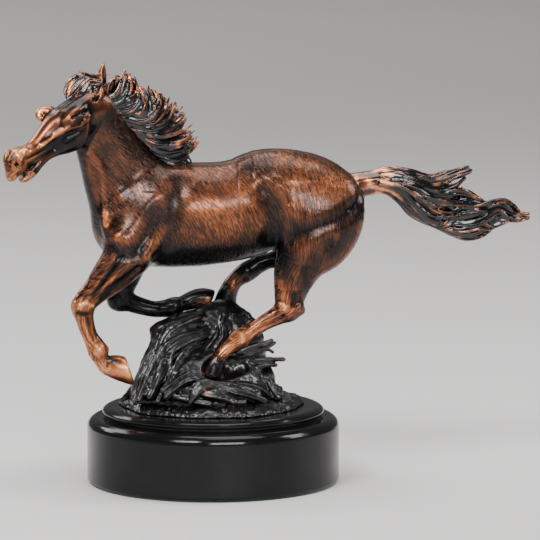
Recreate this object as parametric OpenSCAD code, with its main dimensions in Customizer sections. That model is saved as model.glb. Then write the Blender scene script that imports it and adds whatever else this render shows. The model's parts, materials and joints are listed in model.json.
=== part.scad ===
// Galloping horse statuette: hollow bronze castings pinned and welded together, carried by a
// gnarled stump on a turned and lacquered plinth.
// Origin: plinth axis at the underside of the felt. +Z up. The horse runs towards -X, and its
// near (left) side faces -Y.

/* [Plinth] */
// Diameter of the plinth drum
drum_d = 126.4; // [120:0.4:136]
// Height of the plinth drum
drum_h = 32; // [28:1:40]
// Widest diameter of the top moulding
moulding_d = 111; // [106:1:116]
// Height of the top moulding above the drum
moulding_h = 5.3; // [5:0.1:7]
// Thickness of the felt under the plinth
felt_t = 1; // [0.6:0.1:2]

/* [Fixings] */
// Thread diameter of the two mounting studs
stud_d = 6; // [5:0.5:8]
// Distance between the two mounting studs
stud_gap = 44; // [36:1:50]
// Diameter of the locating pins between castings
pin_d = 3; // [2.4:0.1:3.4]
// Radial clearance around studs and pins
pin_clear = 0.1; // [0.05:0.01:0.15]

/* [Horse] */
// Wall thickness of the hollow castings
wall = 3; // [2.6:0.1:3.6]
// Half width of the barrel at its widest
barrel_w = 20; // [19:0.5:21]
// How far the near and far legs stand from the middle plane
leg_track = 12; // [11:0.5:13]
// Angle that the head is turned towards the near side
head_yaw = 26.6; // [22:0.2:30]
// Angle that the head hangs below level
head_pitch = 30; // [27:0.5:33]
// Number of locks in each of the two rows of the mane
mane_locks = 8; // [7:1:9]

/* [Hidden] */
round_fn = 96;     // fineness of the turned parts
hole_fn = 24;      // fineness of bores in the castings
ring = 16;         // points around a casting's section
lock_ring = 8;     // points around a lock of hair
big = 300;         // larger than the whole object
weld_gap = 0.02;   // open seam between two castings before welding

// Plinth levels
drum_z = felt_t;
drum_top = drum_z + drum_h;
drum_r = drum_d/2;
drum_bottom_fillet = 1.5;
drum_shoulder_r = 5;
moulding_top = drum_top + moulding_h;
moulding_r = moulding_d/2;
moulding_neck = 1.5;       // height of the groove under the moulding
moulding_neck_in = 1.6;    // depth of that groove
moulding_top_in = 4.5;     // how far the moulding's top edge sits inside its widest line
felt_in = 1.2;             // how far the felt stays inside the drum's edge

// Fixing levels
nut_bore_r = 9;
nut_bore_h = 10;
washer_r = 7.5;
washer_t = 1.6;
nut_af = 10;               // hexagon nut across its flats
nut_h = 5;
stud_bottom = drum_z + 1.5;
stud_top = moulding_top + 3.4;
dowel_d = 8;
dowel_gap = 70;
dowel_in_moulding = 3.5;
dowel_in_drum = 14;
stud_bore_ease = 0.2;      // extra radial room for the studs in the wood
stump_pin_in = 2.8;        // how far the stump pins go into the ground casting
stump_pin_room = 3;        // depth of their bores in the ground casting

// Statue levels
ground_z = moulding_top;
ground_r = 46;
ground_h = 4.2;
stump_z = ground_z + ground_h;

// Places where castings meet: a point on the joint face and the direction of its normal
neck_joint = [-39, 0, 146];
neck_dir = [-0.52, 0, 0.85];
head_joint = [-60, -7, 183];
head_dir = [-0.86, -0.38, 0.34];
tail_joint = [71, 0, 148.5];
tail_dir = [1, 0, 0];
near_fore_joint = [-45.5, -leg_track, 114];
fore_dir = [-0.7, 0, -0.7];
far_fore_joint = [-41.5, leg_track, 111];
far_fore_dir = [-0.15, 0, -1];
near_hind_joint = [43, -leg_track, 110];
hind_dir = [-0.2, 0, -1];
far_hind_joint = [43, leg_track, 117];
far_hind_dir = [0.2, 0, -1];
poll = [-56, -6, 196];
pin_depth = 6;             // how far each pin goes into each casting
neck_across = [0.853, 0, 0.522];  // direction across the neck's joint face
neck_pin_reach = 18.6;     // how far the two neck pins stand from the middle of that face

// ---------- curves ----------
// A station is [x, y, z, half height, half width]; a chain is a list of stations.
function blend4(p0, p1, p2, p3, t) =
    0.5*(2*p1 + (p2 - p0)*t + (2*p0 - 5*p1 + 4*p2 - p3)*t*t + (3*p1 - p0 - 3*p2 + p3)*t*t*t);
function smoothed(st, steps) =
    let (n = len(st))
    [for (i = [0:n - 2], j = [0:steps - 1])
        blend4(st[max(i - 1, 0)], st[i], st[i + 1], st[min(i + 2, n - 1)], j/steps), st[n - 1]];
function along(st, t) =
    let (n = len(st), s = min(max(t, 0), 0.9999)*(n - 1), i = floor(s))
    blend4(st[max(i - 1, 0)], st[i], st[i + 1], st[min(i + 2, n - 1)], s - i);
function place(s) = [s[0], s[1], s[2]];
function unit(v) = v/norm(v);
function across(t) = unit([0, 1, 0] - t[1]*t);
function section(p, t, high, wide, n) =
    let (s = across(t), f = cross(t, s))
    [for (k = [0:n - 1]) p + f*high*cos(360*k/n) + s*wide*sin(360*k/n)];
function sections(rows, n, inset) =
    let (m = len(rows) - 1)
    [for (i = [0:m])
        section(place(rows[i]), unit(place(rows[min(i + 1, m)]) - place(rows[max(i - 1, 0)])),
                max(rows[i][3] - inset, 0.2), max(rows[i][4] - inset, 0.2), n)];

// Skin over a list of rings with the same number of points
module skin(rings) {
    n = len(rings[0]);
    m = len(rings);
    sides = [for (k = [0:m - 2], i = [0:n - 1]) each
        [[k*n + i, (k + 1)*n + (i + 1)%n, (k + 1)*n + i], [k*n + i, k*n + (i + 1)%n, (k + 1)*n + (i + 1)%n]]];
    first = [for (i = [n - 1:-1:0]) i];
    last = [for (i = [0:n - 1]) (m - 1)*n + i];
    polyhedron(points = [for (r = rings) each r], faces = concat([first], sides, [last]), convexity = 8);
}

// Smooth solid limb through its stations, thinner all round by inset
module limb(st, steps = 3, n = ring, inset = 0)
    skin(sections(smoothed(st, steps), n, inset));

// Joins the overlapping skins of one casting into a single closed surface
module fused() resize([0, 0, 0]) children();

// Everything on the far side of a joint face: the side that its normal points to
module beyond(point, dir, gap = weld_gap/2)
    translate(point + unit(dir)*gap)
        rotate([0, acos(unit(dir)[2]), atan2(dir[1], dir[0])])
            translate([-big/2, -big/2, 0]) cube(big);

// Locating pin, or the bore for it when grown, across a joint face
module joint_pin(point, dir, grow = 0, fn = round_fn)
    translate(point)
        rotate([0, acos(unit(dir)[2]), atan2(dir[1], dir[0])])
            cylinder(d = pin_d + 2*grow, h = 2*(pin_depth + grow), center = true, $fn = fn);

// ---------- the horse's masses ----------
torso = [
    [-58, 0, 131, 6, 5], [-55, 0, 130, 13, 10], [-48, 0, 130, 19.5, 14.5], [-36, 0, 132.5, 23.5, 17.5],
    [-24, 0, 134.3, 26, 19], [-10, 0, 134.5, 26, barrel_w - 0.5], [4, 0, 135.3, 25.4, barrel_w],
    [16, 0, 138, 24.7, barrel_w - 0.5], [26, 0, 141.5, 25, 19], [38, 0, 143, 24, 19.5],
    [50, 0, 143, 21.2, 19], [60, 0, 142, 17, 15.5], [68, 0, 143, 11.5, 11], [75, 0, 144, 5, 5]];
neck = [
    [-28, 0, 134, 24, 15], [-36, 0, 143, 22.5, 14], [-43, -1, 152, 20, 11.5], [-49, -2.5, 162, 17, 10],
    [-54, -4.5, 172, 15, 9], [-57.5, -6, 180, 13.5, 8.8], [-61, -7.5, 188, 11.5, 8.5]];
// The head's stations are measured from the poll, along the face and square to it
head = [
    [-6, 0, -6, 8, 6], [2, 0, -7, 9, 8], [9, 0, -7, 12.5, 9.5], [17, 0, -6, 14.5, 11], [25, 0, -4.2, 13.8, 11.5],
    [33, 0, -3.4, 10.8, 9], [40, 0, -3.4, 8, 7], [46, 0, -4.2, 6.9, 6], [52, 0, -4.3, 8, 6.2],
    [57, 0, -4.1, 9.3, 6.6], [61, 0, -4.5, 7.4, 5.4], [63.5, 0, -4.8, 4, 3]];
near_ear = [[-60, -10.5, 188.5, 3, 2.6], [-59.6, -12, 192, 3.2, 2.4], [-58, -13.4, 196, 2.6, 2], [-56.3, -14, 200, 0.5, 0.5]];
far_ear = [[-58, -3, 192, 3, 2.6], [-57.4, -2.6, 199, 3.2, 2.4], [-56, -2, 205, 2.2, 1.8], [-54.4, -1.6, 211, 0.4, 0.4]];
near_fore_upper = [
    [-33, 4 - leg_track, 132, 15, 8], [-41, 1 - leg_track, 121, 14, 9.5], [-46, -leg_track, 113.5, 10.8, 8.6],
    [-52.5, -leg_track, 105.8, 8.9, 7], [-59.5, -leg_track, 98.8, 6.8, 5.6],
    [-64.5, -leg_track, 93.4, 6.1, 5.2], [-66.4, -leg_track, 89.4, 5, 4.6], [-66.8, -leg_track, 86.6, 2.5, 2.4]];
near_fore_lower = [
    [-67, -leg_track, 93, 3, 3], [-66.3, -leg_track, 90, 5.4, 4.9], [-65.6, -leg_track, 85.5, 5, 4.5],
    [-64.6, -leg_track, 81, 4.2, 3.9], [-62.9, -leg_track, 76, 3.9, 3.6], [-60.4, -leg_track, 71.5, 4.6, 4],
    [-59, -leg_track, 68.6, 5.2, 4.4], [-57.6, -leg_track, 65, 4.1, 3.8], [-56, -leg_track, 62, 3.9, 3.8],
    [-53, -leg_track, 60.2, 4.7, 4.4], [-48, -leg_track, 59.4, 5.6, 5.1], [-43, -leg_track, 58.9, 6.1, 5.5]];
far_fore_upper = [
    [-34, leg_track - 4, 131, 15, 8], [-39, leg_track - 1, 119, 13, 9], [-42, leg_track, 109, 9.6, 8],
    [-43.5, leg_track, 101, 7.4, 6.4], [-45, leg_track, 94, 6, 5.4], [-46, leg_track, 88.6, 4.8, 4.6],
    [-46.3, leg_track, 86, 2, 2]];
far_fore_lower = [
    [-50, leg_track, 90.2, 2.4, 2.6], [-46.5, leg_track, 90, 5, 4.8], [-41, leg_track, 89.2, 4.9, 4.5],
    [-35, leg_track, 87.2, 4.5, 4], [-28.5, leg_track, 85.6, 4.2, 3.8], [-22.5, leg_track, 85.8, 4.6, 4.1],
    [-18.5, leg_track, 86.6, 4.9, 4.4], [-14, leg_track, 88, 3.9, 3.8], [-10, leg_track, 89.3, 4.4, 4.3],
    [-5, leg_track, 90.6, 5.3, 5], [0, leg_track, 91.6, 5.9, 5.5]];
near_hind_upper = [
    [50, 5 - leg_track, 154, 15, 6], [52, 2 - leg_track, 144, 21, 9], [53, 1 - leg_track, 134, 22.4, 10.5],
    [50.5, -leg_track, 123, 20, 10.2], [45, -leg_track, 113.6, 14.8, 9], [40.5, -leg_track, 106.5, 11, 7.6],
    [38.5, -leg_track, 100, 8.9, 6.3], [37.4, -leg_track, 94, 7.9, 5.6], [36.8, -leg_track, 88.5, 7.1, 5.2],
    [36.5, -leg_track, 84.6, 3.4, 3]];
near_hind_lower = [
    [42, -leg_track, 89, 3, 2.6], [37.5, -leg_track, 87.3, 6, 4.8], [31.5, -leg_track, 84.6, 5.2, 4.3],
    [25, -leg_track, 81.4, 4.5, 3.9], [18.5, -leg_track, 77.4, 4.1, 3.7], [12.3, -leg_track, 73.7, 5.1, 4.3],
    [7, -leg_track, 69.4, 3.9, 3.8], [2.6, -leg_track, 65.4, 3.9, 3.9], [-0.4, -leg_track, 61.6, 4.9, 4.7],
    [-1.6, -leg_track, 57.6, 5.9, 5.5], [-2.2, -leg_track, 54.2, 6.5, 5.9]];
far_hind_upper = [
    [50, leg_track - 5, 154, 14, 6], [51.5, leg_track - 2, 144, 20, 9], [52, leg_track - 1, 134, 20, 10],
    [48, leg_track, 124, 15, 9.6], [43.5, leg_track, 116, 11, 8], [43.5, leg_track, 110, 8, 6],
    [44.5, leg_track, 105, 6, 4.6], [45, leg_track, 101.8, 2.6, 2.4]];
far_hind_lower = [
    [48, leg_track, 104.4, 3, 2.6], [44, leg_track, 106.4, 5.4, 4.6], [37.5, leg_track, 108.6, 4.8, 4.2],
    [31, leg_track, 109.2, 4.2, 3.8], [25, leg_track, 107.2, 4.4, 3.8], [19, leg_track, 103.8, 5.2, 4.3],
    [14, leg_track, 100.4, 4.4, 4], [10.6, leg_track, 96.8, 4.2, 4], [8.6, leg_track, 92.6, 4.8, 4.6],
    [7.6, leg_track, 88.4, 5.6, 5.2], [7, leg_track, 84.4, 6.2, 5.7]];

// ---------- hair ----------
crest = [
    [-59, -8, 190, 0, 0], [-52, -7, 187.5, 0, 0], [-45, -6, 182, 0, 0], [-38, -5, 174.5, 0, 0],
    [-31, -4, 167, 0, 0], [-24, -2, 161, 0, 0], [-16, 0, 158, 0, 0]];
hair_edge = [
    [-53, -2, 204, 0, 0], [-44, -2, 208, 0, 0], [-33, -1, 199, 0, 0], [-21.5, -1, 191, 0, 0],
    [-11.5, 0, 181.5, 0, 0], [-7.5, 1, 171.5, 0, 0], [-13, 1, 161, 0, 0]];
function lock_path(t, side, lift) =
    let (root = place(along(crest, t)), tip = place(along(hair_edge, min(t + 0.07, 1))),
         mid = (root + tip)/2 + [-2, 0, lift])
    [concat(root + [0, side, -1], [2.6, 3.2]), concat((root + mid)/2 + [0, 1.5*side, 0.6], [3.4, 3.6]),
     concat(mid + [0, 1.5*side, 0], [3, 3.2]), concat((mid + tip)/2 + [1, side, 0.8], [2.2, 2.2]),
     concat(tip + [0, side, 0], [0.5, 0.5])];
module mane_hair() {
    row = mane_locks - 1;
    for (i = [0:row]) {
        limb(lock_path(i/row, -1.2, 3), steps = 2, n = lock_ring);
        limb(lock_path((i + 0.5)/mane_locks, 2.6, 4), steps = 2, n = lock_ring);
    }
    limb([for (i = [0:6]) concat(place(along(crest, i/6)) + [3, 3, 3.4], [6, 5.4])], steps = 2, n = 12);
}
module forelock_hair() {
    limb([[-58, -6, 195, 4, 4], [-63, -7, 199, 4.5, 4.5], [-68, -8, 201, 3.6, 4], [-72, -10, 199, 2.8, 3],
          [-74.5, -11, 196, 0.8, 1]], steps = 2, n = 10);
    limb([[-57, -4, 197, 4, 4], [-62, -4, 201, 3.4, 3.6], [-66.5, -6, 203.4, 2.4, 2.6],
          [-70, -8, 203.8, 0.8, 0.8]], steps = 2, n = 8);
}
tail_bone = [
    [62, 0, 147, 9, 8], [70, 0, 147.6, 8.2, 6.6], [77, 0, 148.8, 6.6, 5.4], [84, 0, 149.4, 6.4, 5.2],
    [91, 0, 149.2, 6.8, 5.6], [98, 0, 146.4, 8.8, 6.4], [106, 0, 141.8, 10.8, 7], [115, 0, 137.4, 11.6, 7.2],
    [124, 0, 132.6, 11.4, 6.6], [133, 0, 130, 8.6, 5.4], [142, 0, 130.4, 5.4, 3.8], [151, 0, 131.6, 3, 2.2],
    [160, 0, 130.8, 0.6, 0.6]];
tail_wisps = [
    [[98, -2, 151, 3, 3], [108, -2, 150.6, 3.2, 3], [120, -1, 151, 2.6, 2.4], [129.5, 0, 154.8, 0.6, 0.6]],
    [[108, 3, 148, 3, 3], [120, 4, 145.4, 3.4, 3], [131, 3, 141.8, 2.2, 2.2], [137.5, 2, 137.6, 0.6, 0.6]],
    [[122, -2, 137, 4, 3], [134, -3, 137, 3.2, 2.6], [145, -2, 138.4, 2.2, 2], [156, 0, 133.6, 0.6, 0.6]],
    [[108, -2, 131, 4, 3], [120, -3, 125, 3.4, 3], [131, -2, 121.6, 2.2, 2.2], [143, 0, 125.6, 0.6, 0.6]]];

// ---------- stump and ground ----------
stump = [
    [-3, -1, stump_z - 1.5, 40.4, 30.4], [-4, 0, 48, 36, 25], [-3.5, 2, 53, 34, 19], [-2.5, 5, 59, 32, 14.5],
    [-1.5, 5, 66, 30, 13], [-2, 5, 73, 28, 12], [-3, 5.5, 78.5, 24, 10.5], [-2.5, 7, 82.5, 15, 8.5],
    [-1, 8, 86, 6, 5]];
stump_ribs = 7;
stump_rib_lean = 15;
function rib_path(i) =
    let (x = -36 + 58*i/(stump_ribs - 1), side = i%2 == 0 ? -1 : 1)
    [[x, 4 + side*18, 44, 5, 5], [x + 3, 4 + side*13, 55, 4, 4], [x + 7, 5 + side*10, 66, 3.4, 3.4],
     [x + stump_rib_lean*0.8, 5 + side*8, 74, 2.6, 2.6], [x + stump_rib_lean, 6 + side*5, 79 - abs(i - 3)*0.8, 1, 1]];
stump_leaves = [
    [[20, -4, 72, 5, 4], [29, -5, 76.4, 3.6, 3], [38, -5, 80, 0.6, 0.6]],
    [[20, -4, 60, 6, 5], [29, -7, 62.4, 4, 4], [35, -8, 61, 1, 1.4]],
    [[24, 2, 46, 6, 8], [36, 0, 43.6, 3.6, 5], [45, -2, 42.8, 0.8, 2]]];
ground_points = 48;
function ground_ring(share, z) =
    [for (k = [0:ground_points - 1]) let (a = 360*k/ground_points)
        [-cos(a)*share*(ground_r + 1.6*sin(3*a + 40) + 0.9*sin(7*a)) - 1,
         sin(a)*share*(ground_r - 2.4 + 1.2*sin(4*a) + 0.8*sin(9*a)), z]];

// ---------- whole masses, before they are cut into castings ----------
module torso_mass(inset = 0) limb(torso, steps = 2, n = 20, inset = inset);
module neck_mass(inset = 0) limb(neck, steps = 2, inset = inset);
module at_head() translate(poll) rotate([0, head_pitch, 180 + head_yaw]) children();
module ears() {
    limb(near_ear, steps = 2, n = 10);
    limb(far_ear, steps = 2, n = 10);
}
module brow(side)
    at_head() limb([[20, side*8, 2, 3, 3], [25, side*9.4, 5.4, 4, 3.4], [29, side*8.8, 6.2, 3, 3],
                    [33, side*6.6, 4.8, 1, 1]], steps = 2, n = 10);
module head_mass() {
    at_head() limb(head, n = 20);
    brow(1);
    brow(-1);
    ears();
}

// ---------- plinth ----------
module felt_pad() color("#16241c")
    cylinder(r = drum_r - felt_in, h = felt_t, $fn = round_fn);

module at_studs() for (side = [-1, 1]) translate([side*stud_gap/2, 0, 0]) children();
module at_dowels() for (side = [-1, 1]) translate([0, side*dowel_gap/2, 0]) children();
module stud_bores() at_studs() cylinder(d = stud_d + 2*(pin_clear + stud_bore_ease), h = big, $fn = round_fn);

module plinth_drum() color("#121113")
    difference() {
        rotate_extrude($fn = round_fn) drum_profile();
        stud_bores();
        at_studs() cylinder(r = nut_bore_r, h = drum_z + nut_bore_h, $fn = round_fn);
        at_dowels() translate([0, 0, drum_top - dowel_in_drum]) cylinder(d = dowel_d, h = big, $fn = round_fn);
    }
module drum_profile() translate([0, drum_z]) {
    f = drum_bottom_fillet;
    s = drum_shoulder_r;
    polygon(concat(
        [[0, 0]],
        [for (a = [-90:15:0]) [drum_r - f + f*cos(a), f + f*sin(a)]],
        [for (a = [0:10:90]) [drum_r - s + s*cos(a), drum_h - s + s*sin(a)]],
        [[0, drum_h]]));
}

module plinth_moulding() color("#151416")
    difference() {
        rotate_extrude($fn = round_fn) moulding_profile();
        stud_bores();
        at_dowels() cylinder(d = dowel_d, h = drum_top + dowel_in_moulding, $fn = round_fn);
    }
module moulding_profile() translate([0, drum_top]) {
    rise = moulding_h - moulding_neck;
    polygon(concat(
        [[0, 0], [moulding_r - moulding_neck_in, 0], [moulding_r - moulding_neck_in, moulding_neck]],
        [for (a = [-30:12:90]) [moulding_r - moulding_top_in + moulding_top_in*cos(a),
                                moulding_neck + rise*(0.35 + 0.65*sin(a))]],
        [[0, moulding_h]]));
}

module plinth_dowels() color("#b58a55")
    at_dowels() translate([0, 0, drum_top - dowel_in_drum])
        cylinder(d = dowel_d, h = dowel_in_drum + dowel_in_moulding, $fn = round_fn);

module mounting_studs() color("#9a9a9c")
    at_studs() translate([0, 0, stud_bottom]) cylinder(d = stud_d, h = stud_top - stud_bottom, $fn = round_fn);

module stud_washers() color("#a8a8aa")
    at_studs() translate([0, 0, drum_z + nut_bore_h - washer_t])
        difference() {
            cylinder(r = washer_r, h = washer_t, $fn = round_fn);
            cylinder(d = stud_d + 2*pin_clear, h = big, center = true, $fn = round_fn);
        }

module stud_nuts() color("#a8a8aa")
    at_studs() translate([0, 0, drum_z + nut_bore_h - washer_t - nut_h])
        difference() {
            cylinder(d = nut_af/cos(30), h = nut_h, $fn = 6);
            cylinder(d = stud_d, h = big, center = true, $fn = round_fn);
        }

// ---------- ground and stump castings ----------
module stump_pin_places() for (x = [-24, 18]) translate([x, 4, stump_z]) children();
module ground_casting() color("#1c1917")
    fused() difference() {
        skin([ground_ring(1, ground_z), ground_ring(1.01, ground_z + 1.4), ground_ring(0.97, ground_z + 3),
              ground_ring(0.91, stump_z)]);
        at_studs() cylinder(d = stud_d + 2*pin_clear, h = stud_top + pin_clear, $fn = hole_fn);
        stump_pin_places() cylinder(d = pin_d + 2*pin_clear, h = 2*stump_pin_room, center = true, $fn = hole_fn);
    }
module stump_casting() color("#211c19")
    fused() difference() {
        intersection() {
            union() {
                limb(stump, steps = 2, n = 24);
                for (i = [0:stump_ribs - 1]) limb(rib_path(i), steps = 2, n = lock_ring);
                for (leaf = stump_leaves) limb(leaf, steps = 2, n = lock_ring);
            }
            translate([-big/2, -big/2, stump_z + weld_gap]) cube(big);
        }
        for (foot = [near_hind_lower, far_hind_lower, far_fore_lower])
            limb(foot, steps = 2, n = 14, inset = -weld_gap);
        stump_pin_places() cylinder(d = pin_d + 2*pin_clear, h = 2*pin_depth, center = true, $fn = hole_fn);
        hoof_pin_places() cylinder(d = pin_d + 2*pin_clear, h = 2*pin_depth + pin_clear, center = true, $fn = hole_fn);
    }
module stump_pins() color("#b07a3c")
    stump_pin_places() translate([0, 0, -stump_pin_in])
        cylinder(d = pin_d, h = stump_pin_in + pin_depth - 2*pin_clear, $fn = round_fn);
module hoof_pin_places() {
    translate(place(near_hind_lower[len(near_hind_lower) - 1])) children();
    translate(place(far_hind_lower[len(far_hind_lower) - 1])) children();
}
module hoof_pins() color("#b07a3c")
    hoof_pin_places() cylinder(d = pin_d, h = 2*pin_depth, center = true, $fn = round_fn);

// ---------- horse castings ----------
// The part of a leg that is cast with the body
module limb_root(upper, point, dir)
    difference() {
        limb(upper);
        beyond(point, dir, -weld_gap/2);
    }
module body_casting() color("#6b3a22")
    fused() difference() {
        union() {
            difference() {
                union() {
                    torso_mass();
                    neck_mass();
                }
                beyond(neck_joint, neck_dir, -weld_gap/2);
            }
            limb_root(near_fore_upper, near_fore_joint, fore_dir);
            limb_root(far_fore_upper, far_fore_joint, far_fore_dir);
            limb_root(near_hind_upper, near_hind_joint, hind_dir);
            limb_root(far_hind_upper, far_hind_joint, far_hind_dir);
        }
        torso_mass(wall);
        neck_mass(wall);
        beyond(tail_joint, tail_dir, -weld_gap/2);
        all_body_pins();
    }
module all_body_pins() {
    at_neck_pins(pin_clear, hole_fn);
    joint_pin(tail_joint, tail_dir, pin_clear, hole_fn);
    at_fore_pins(pin_clear, hole_fn);
    at_hind_pins(pin_clear, hole_fn);
}
module at_neck_pins(grow = 0, fn = round_fn) for (side = [-1, 1])
    joint_pin(neck_joint + side*neck_pin_reach*neck_across, neck_dir, grow, fn);
module at_fore_pins(grow = 0, fn = round_fn) {
    joint_pin(near_fore_joint, fore_dir, grow, fn);
    joint_pin(far_fore_joint, far_fore_dir, grow, fn);
}
module at_hind_pins(grow = 0, fn = round_fn) {
    joint_pin(near_hind_joint, hind_dir, grow, fn);
    joint_pin(far_hind_joint, far_hind_dir, grow, fn);
}

module neck_casting() color("#6b3a22")
    fused() difference() {
        intersection() {
            neck_mass();
            beyond(neck_joint, neck_dir);
        }
        neck_mass(wall);
        beyond(head_joint, head_dir, -weld_gap/2);
        at_neck_pins(pin_clear, hole_fn);
    }
module head_casting() color("#8a4a28")
    fused() difference() {
        union() {
            head_mass();
            neck_mass();
        }
        beyond(head_joint, -head_dir);
        joint_pin(head_joint, head_dir, pin_clear, hole_fn);
    }
module mane_casting() color("#2a1c15")
    fused() difference() {
        mane_hair();
        neck_mass(-weld_gap);
        torso_mass(-weld_gap);
        at_head() limb(head, n = 20, inset = -weld_gap);
        ears();
        forelock_hair();
    }
module forelock_casting() color("#2a1c15")
    fused() difference() {
        forelock_hair();
        at_head() limb(head, n = 20, inset = -weld_gap);
        neck_mass(-weld_gap);
        ears();
    }
module tail_casting() color("#4a2a1a")
    fused() difference() {
        union() {
            limb(tail_bone, n = 14);
            for (wisp = tail_wisps) limb(wisp, steps = 2, n = lock_ring);
        }
        beyond(tail_joint, -tail_dir);
        joint_pin(tail_joint, tail_dir, pin_clear, hole_fn);
    }

module leg(upper, lower, point, dir, hoof_pin_z = -1)
    fused() difference() {
        union() {
            intersection() {
                limb(upper);
                beyond(point, dir);
            }
            limb(lower, steps = 2, n = 14);
        }
        joint_pin(point, dir, pin_clear, hole_fn);
        if (hoof_pin_z > 0)
            hoof_pin_places() cylinder(d = pin_d + 2*pin_clear, h = 2*pin_depth + pin_clear, center = true, $fn = hole_fn);
    }
module near_fore_leg() color("#8a4a28") leg(near_fore_upper, near_fore_lower, near_fore_joint, fore_dir);
module far_fore_leg() color("#3a2419") leg(far_fore_upper, far_fore_lower, far_fore_joint, far_fore_dir);
module near_hind_leg() color("#7a4226") leg(near_hind_upper, near_hind_lower, near_hind_joint, hind_dir, 1);
module far_hind_leg() color("#3a2419") leg(far_hind_upper, far_hind_lower, far_hind_joint, far_hind_dir, 1);

module neck_pins() color("#b07a3c") at_neck_pins();
module head_pin() color("#b07a3c") joint_pin(head_joint, head_dir);
module tail_pin() color("#b07a3c") joint_pin(tail_joint, tail_dir);
module fore_leg_pins() color("#b07a3c") at_fore_pins();
module hind_leg_pins() color("#b07a3c") at_hind_pins();

felt_pad();
plinth_drum();
plinth_moulding();
plinth_dowels();
mounting_studs();
stud_washers();
stud_nuts();
ground_casting();
stump_casting();
stump_pins();
body_casting();
neck_casting();
head_casting();
mane_casting();
forelock_casting();
tail_casting();
near_fore_leg();
far_fore_leg();
near_hind_leg();
far_hind_leg();
neck_pins();
head_pin();
tail_pin();
fore_leg_pins();
hind_leg_pins();
hoof_pins();
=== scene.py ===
"""Galloping bronze horse on a stump and a lacquered plinth.

The castings are sculpted as signed distance fields in millimetres, in the CAD frame (the horse runs
towards -X, its near side faces -Y), then meshed and cut where the CAD castings meet.
"""

import json
import math

import bpy
import numpy as np
import openvdb
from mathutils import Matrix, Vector

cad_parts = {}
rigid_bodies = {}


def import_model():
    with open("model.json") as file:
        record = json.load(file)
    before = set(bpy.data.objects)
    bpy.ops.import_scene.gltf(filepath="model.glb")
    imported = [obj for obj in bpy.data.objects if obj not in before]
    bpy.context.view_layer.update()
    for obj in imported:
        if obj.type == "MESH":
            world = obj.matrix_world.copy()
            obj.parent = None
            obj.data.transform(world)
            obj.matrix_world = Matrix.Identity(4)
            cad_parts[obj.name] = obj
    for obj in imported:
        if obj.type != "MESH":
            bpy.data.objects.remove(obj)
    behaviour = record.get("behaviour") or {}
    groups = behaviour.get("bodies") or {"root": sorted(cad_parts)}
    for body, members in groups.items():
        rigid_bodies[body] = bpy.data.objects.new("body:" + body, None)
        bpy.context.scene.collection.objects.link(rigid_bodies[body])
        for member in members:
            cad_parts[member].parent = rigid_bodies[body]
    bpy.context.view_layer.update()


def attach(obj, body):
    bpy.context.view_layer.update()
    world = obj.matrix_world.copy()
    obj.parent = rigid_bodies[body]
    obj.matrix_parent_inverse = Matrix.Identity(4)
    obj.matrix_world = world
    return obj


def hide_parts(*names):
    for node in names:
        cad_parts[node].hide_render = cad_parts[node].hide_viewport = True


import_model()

MM = 0.001
BODY_STEP = 0.6      # voxel size of the horse, mm
HAIR_STEP = 0.36     # voxel size of mane, forelock and tail
ROCK_STEP = 0.5      # voxel size of stump and ground
FAR = 4.0                              # distances are kept up to this many mm from a surface
DETAIL = 1.6                           # size of the small hollows that hold the patina, mm


# ---------------------------------------------------------------- curves
def curve(stations, spacing):
    """Rows of a smooth curve through given stations, about spacing mm apart"""
    st = np.array(stations, float)
    rows = []
    last = len(st) - 1
    for i in range(last):
        p0, p1, p2, p3 = st[max(i - 1, 0)], st[i], st[i + 1], st[min(i + 2, last)]
        steps = max(2, int(math.ceil(np.linalg.norm((p2 - p1)[:3]) / spacing)))
        for t in np.arange(steps) / steps:
            rows.append(0.5 * (2 * p1 + (p2 - p0) * t + (2 * p0 - 5 * p1 + 4 * p2 - p3) * t * t
                               + (3 * p1 - p0 - 3 * p2 + p3) * t ** 3))
    rows.append(st[last])
    return np.array(rows)


def unit(v):
    return v / np.maximum(np.linalg.norm(v, axis=-1, keepdims=True), 1e-9)


def section_axes(points, side):
    """Tangent, height axis and width axis at every row; the width axis stays close to side"""
    tangent = unit(np.gradient(points, axis=0))
    side = np.broadcast_to(np.asarray(side, float), tangent.shape)
    wide = unit(side - (side * tangent).sum(1, keepdims=True) * tangent)
    return tangent, np.cross(tangent, wide), wide


def smin(a, b, k):
    h = np.maximum(k - np.abs(a - b), 0) / k
    return np.minimum(a, b) - h * h * (k / 4)


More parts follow.
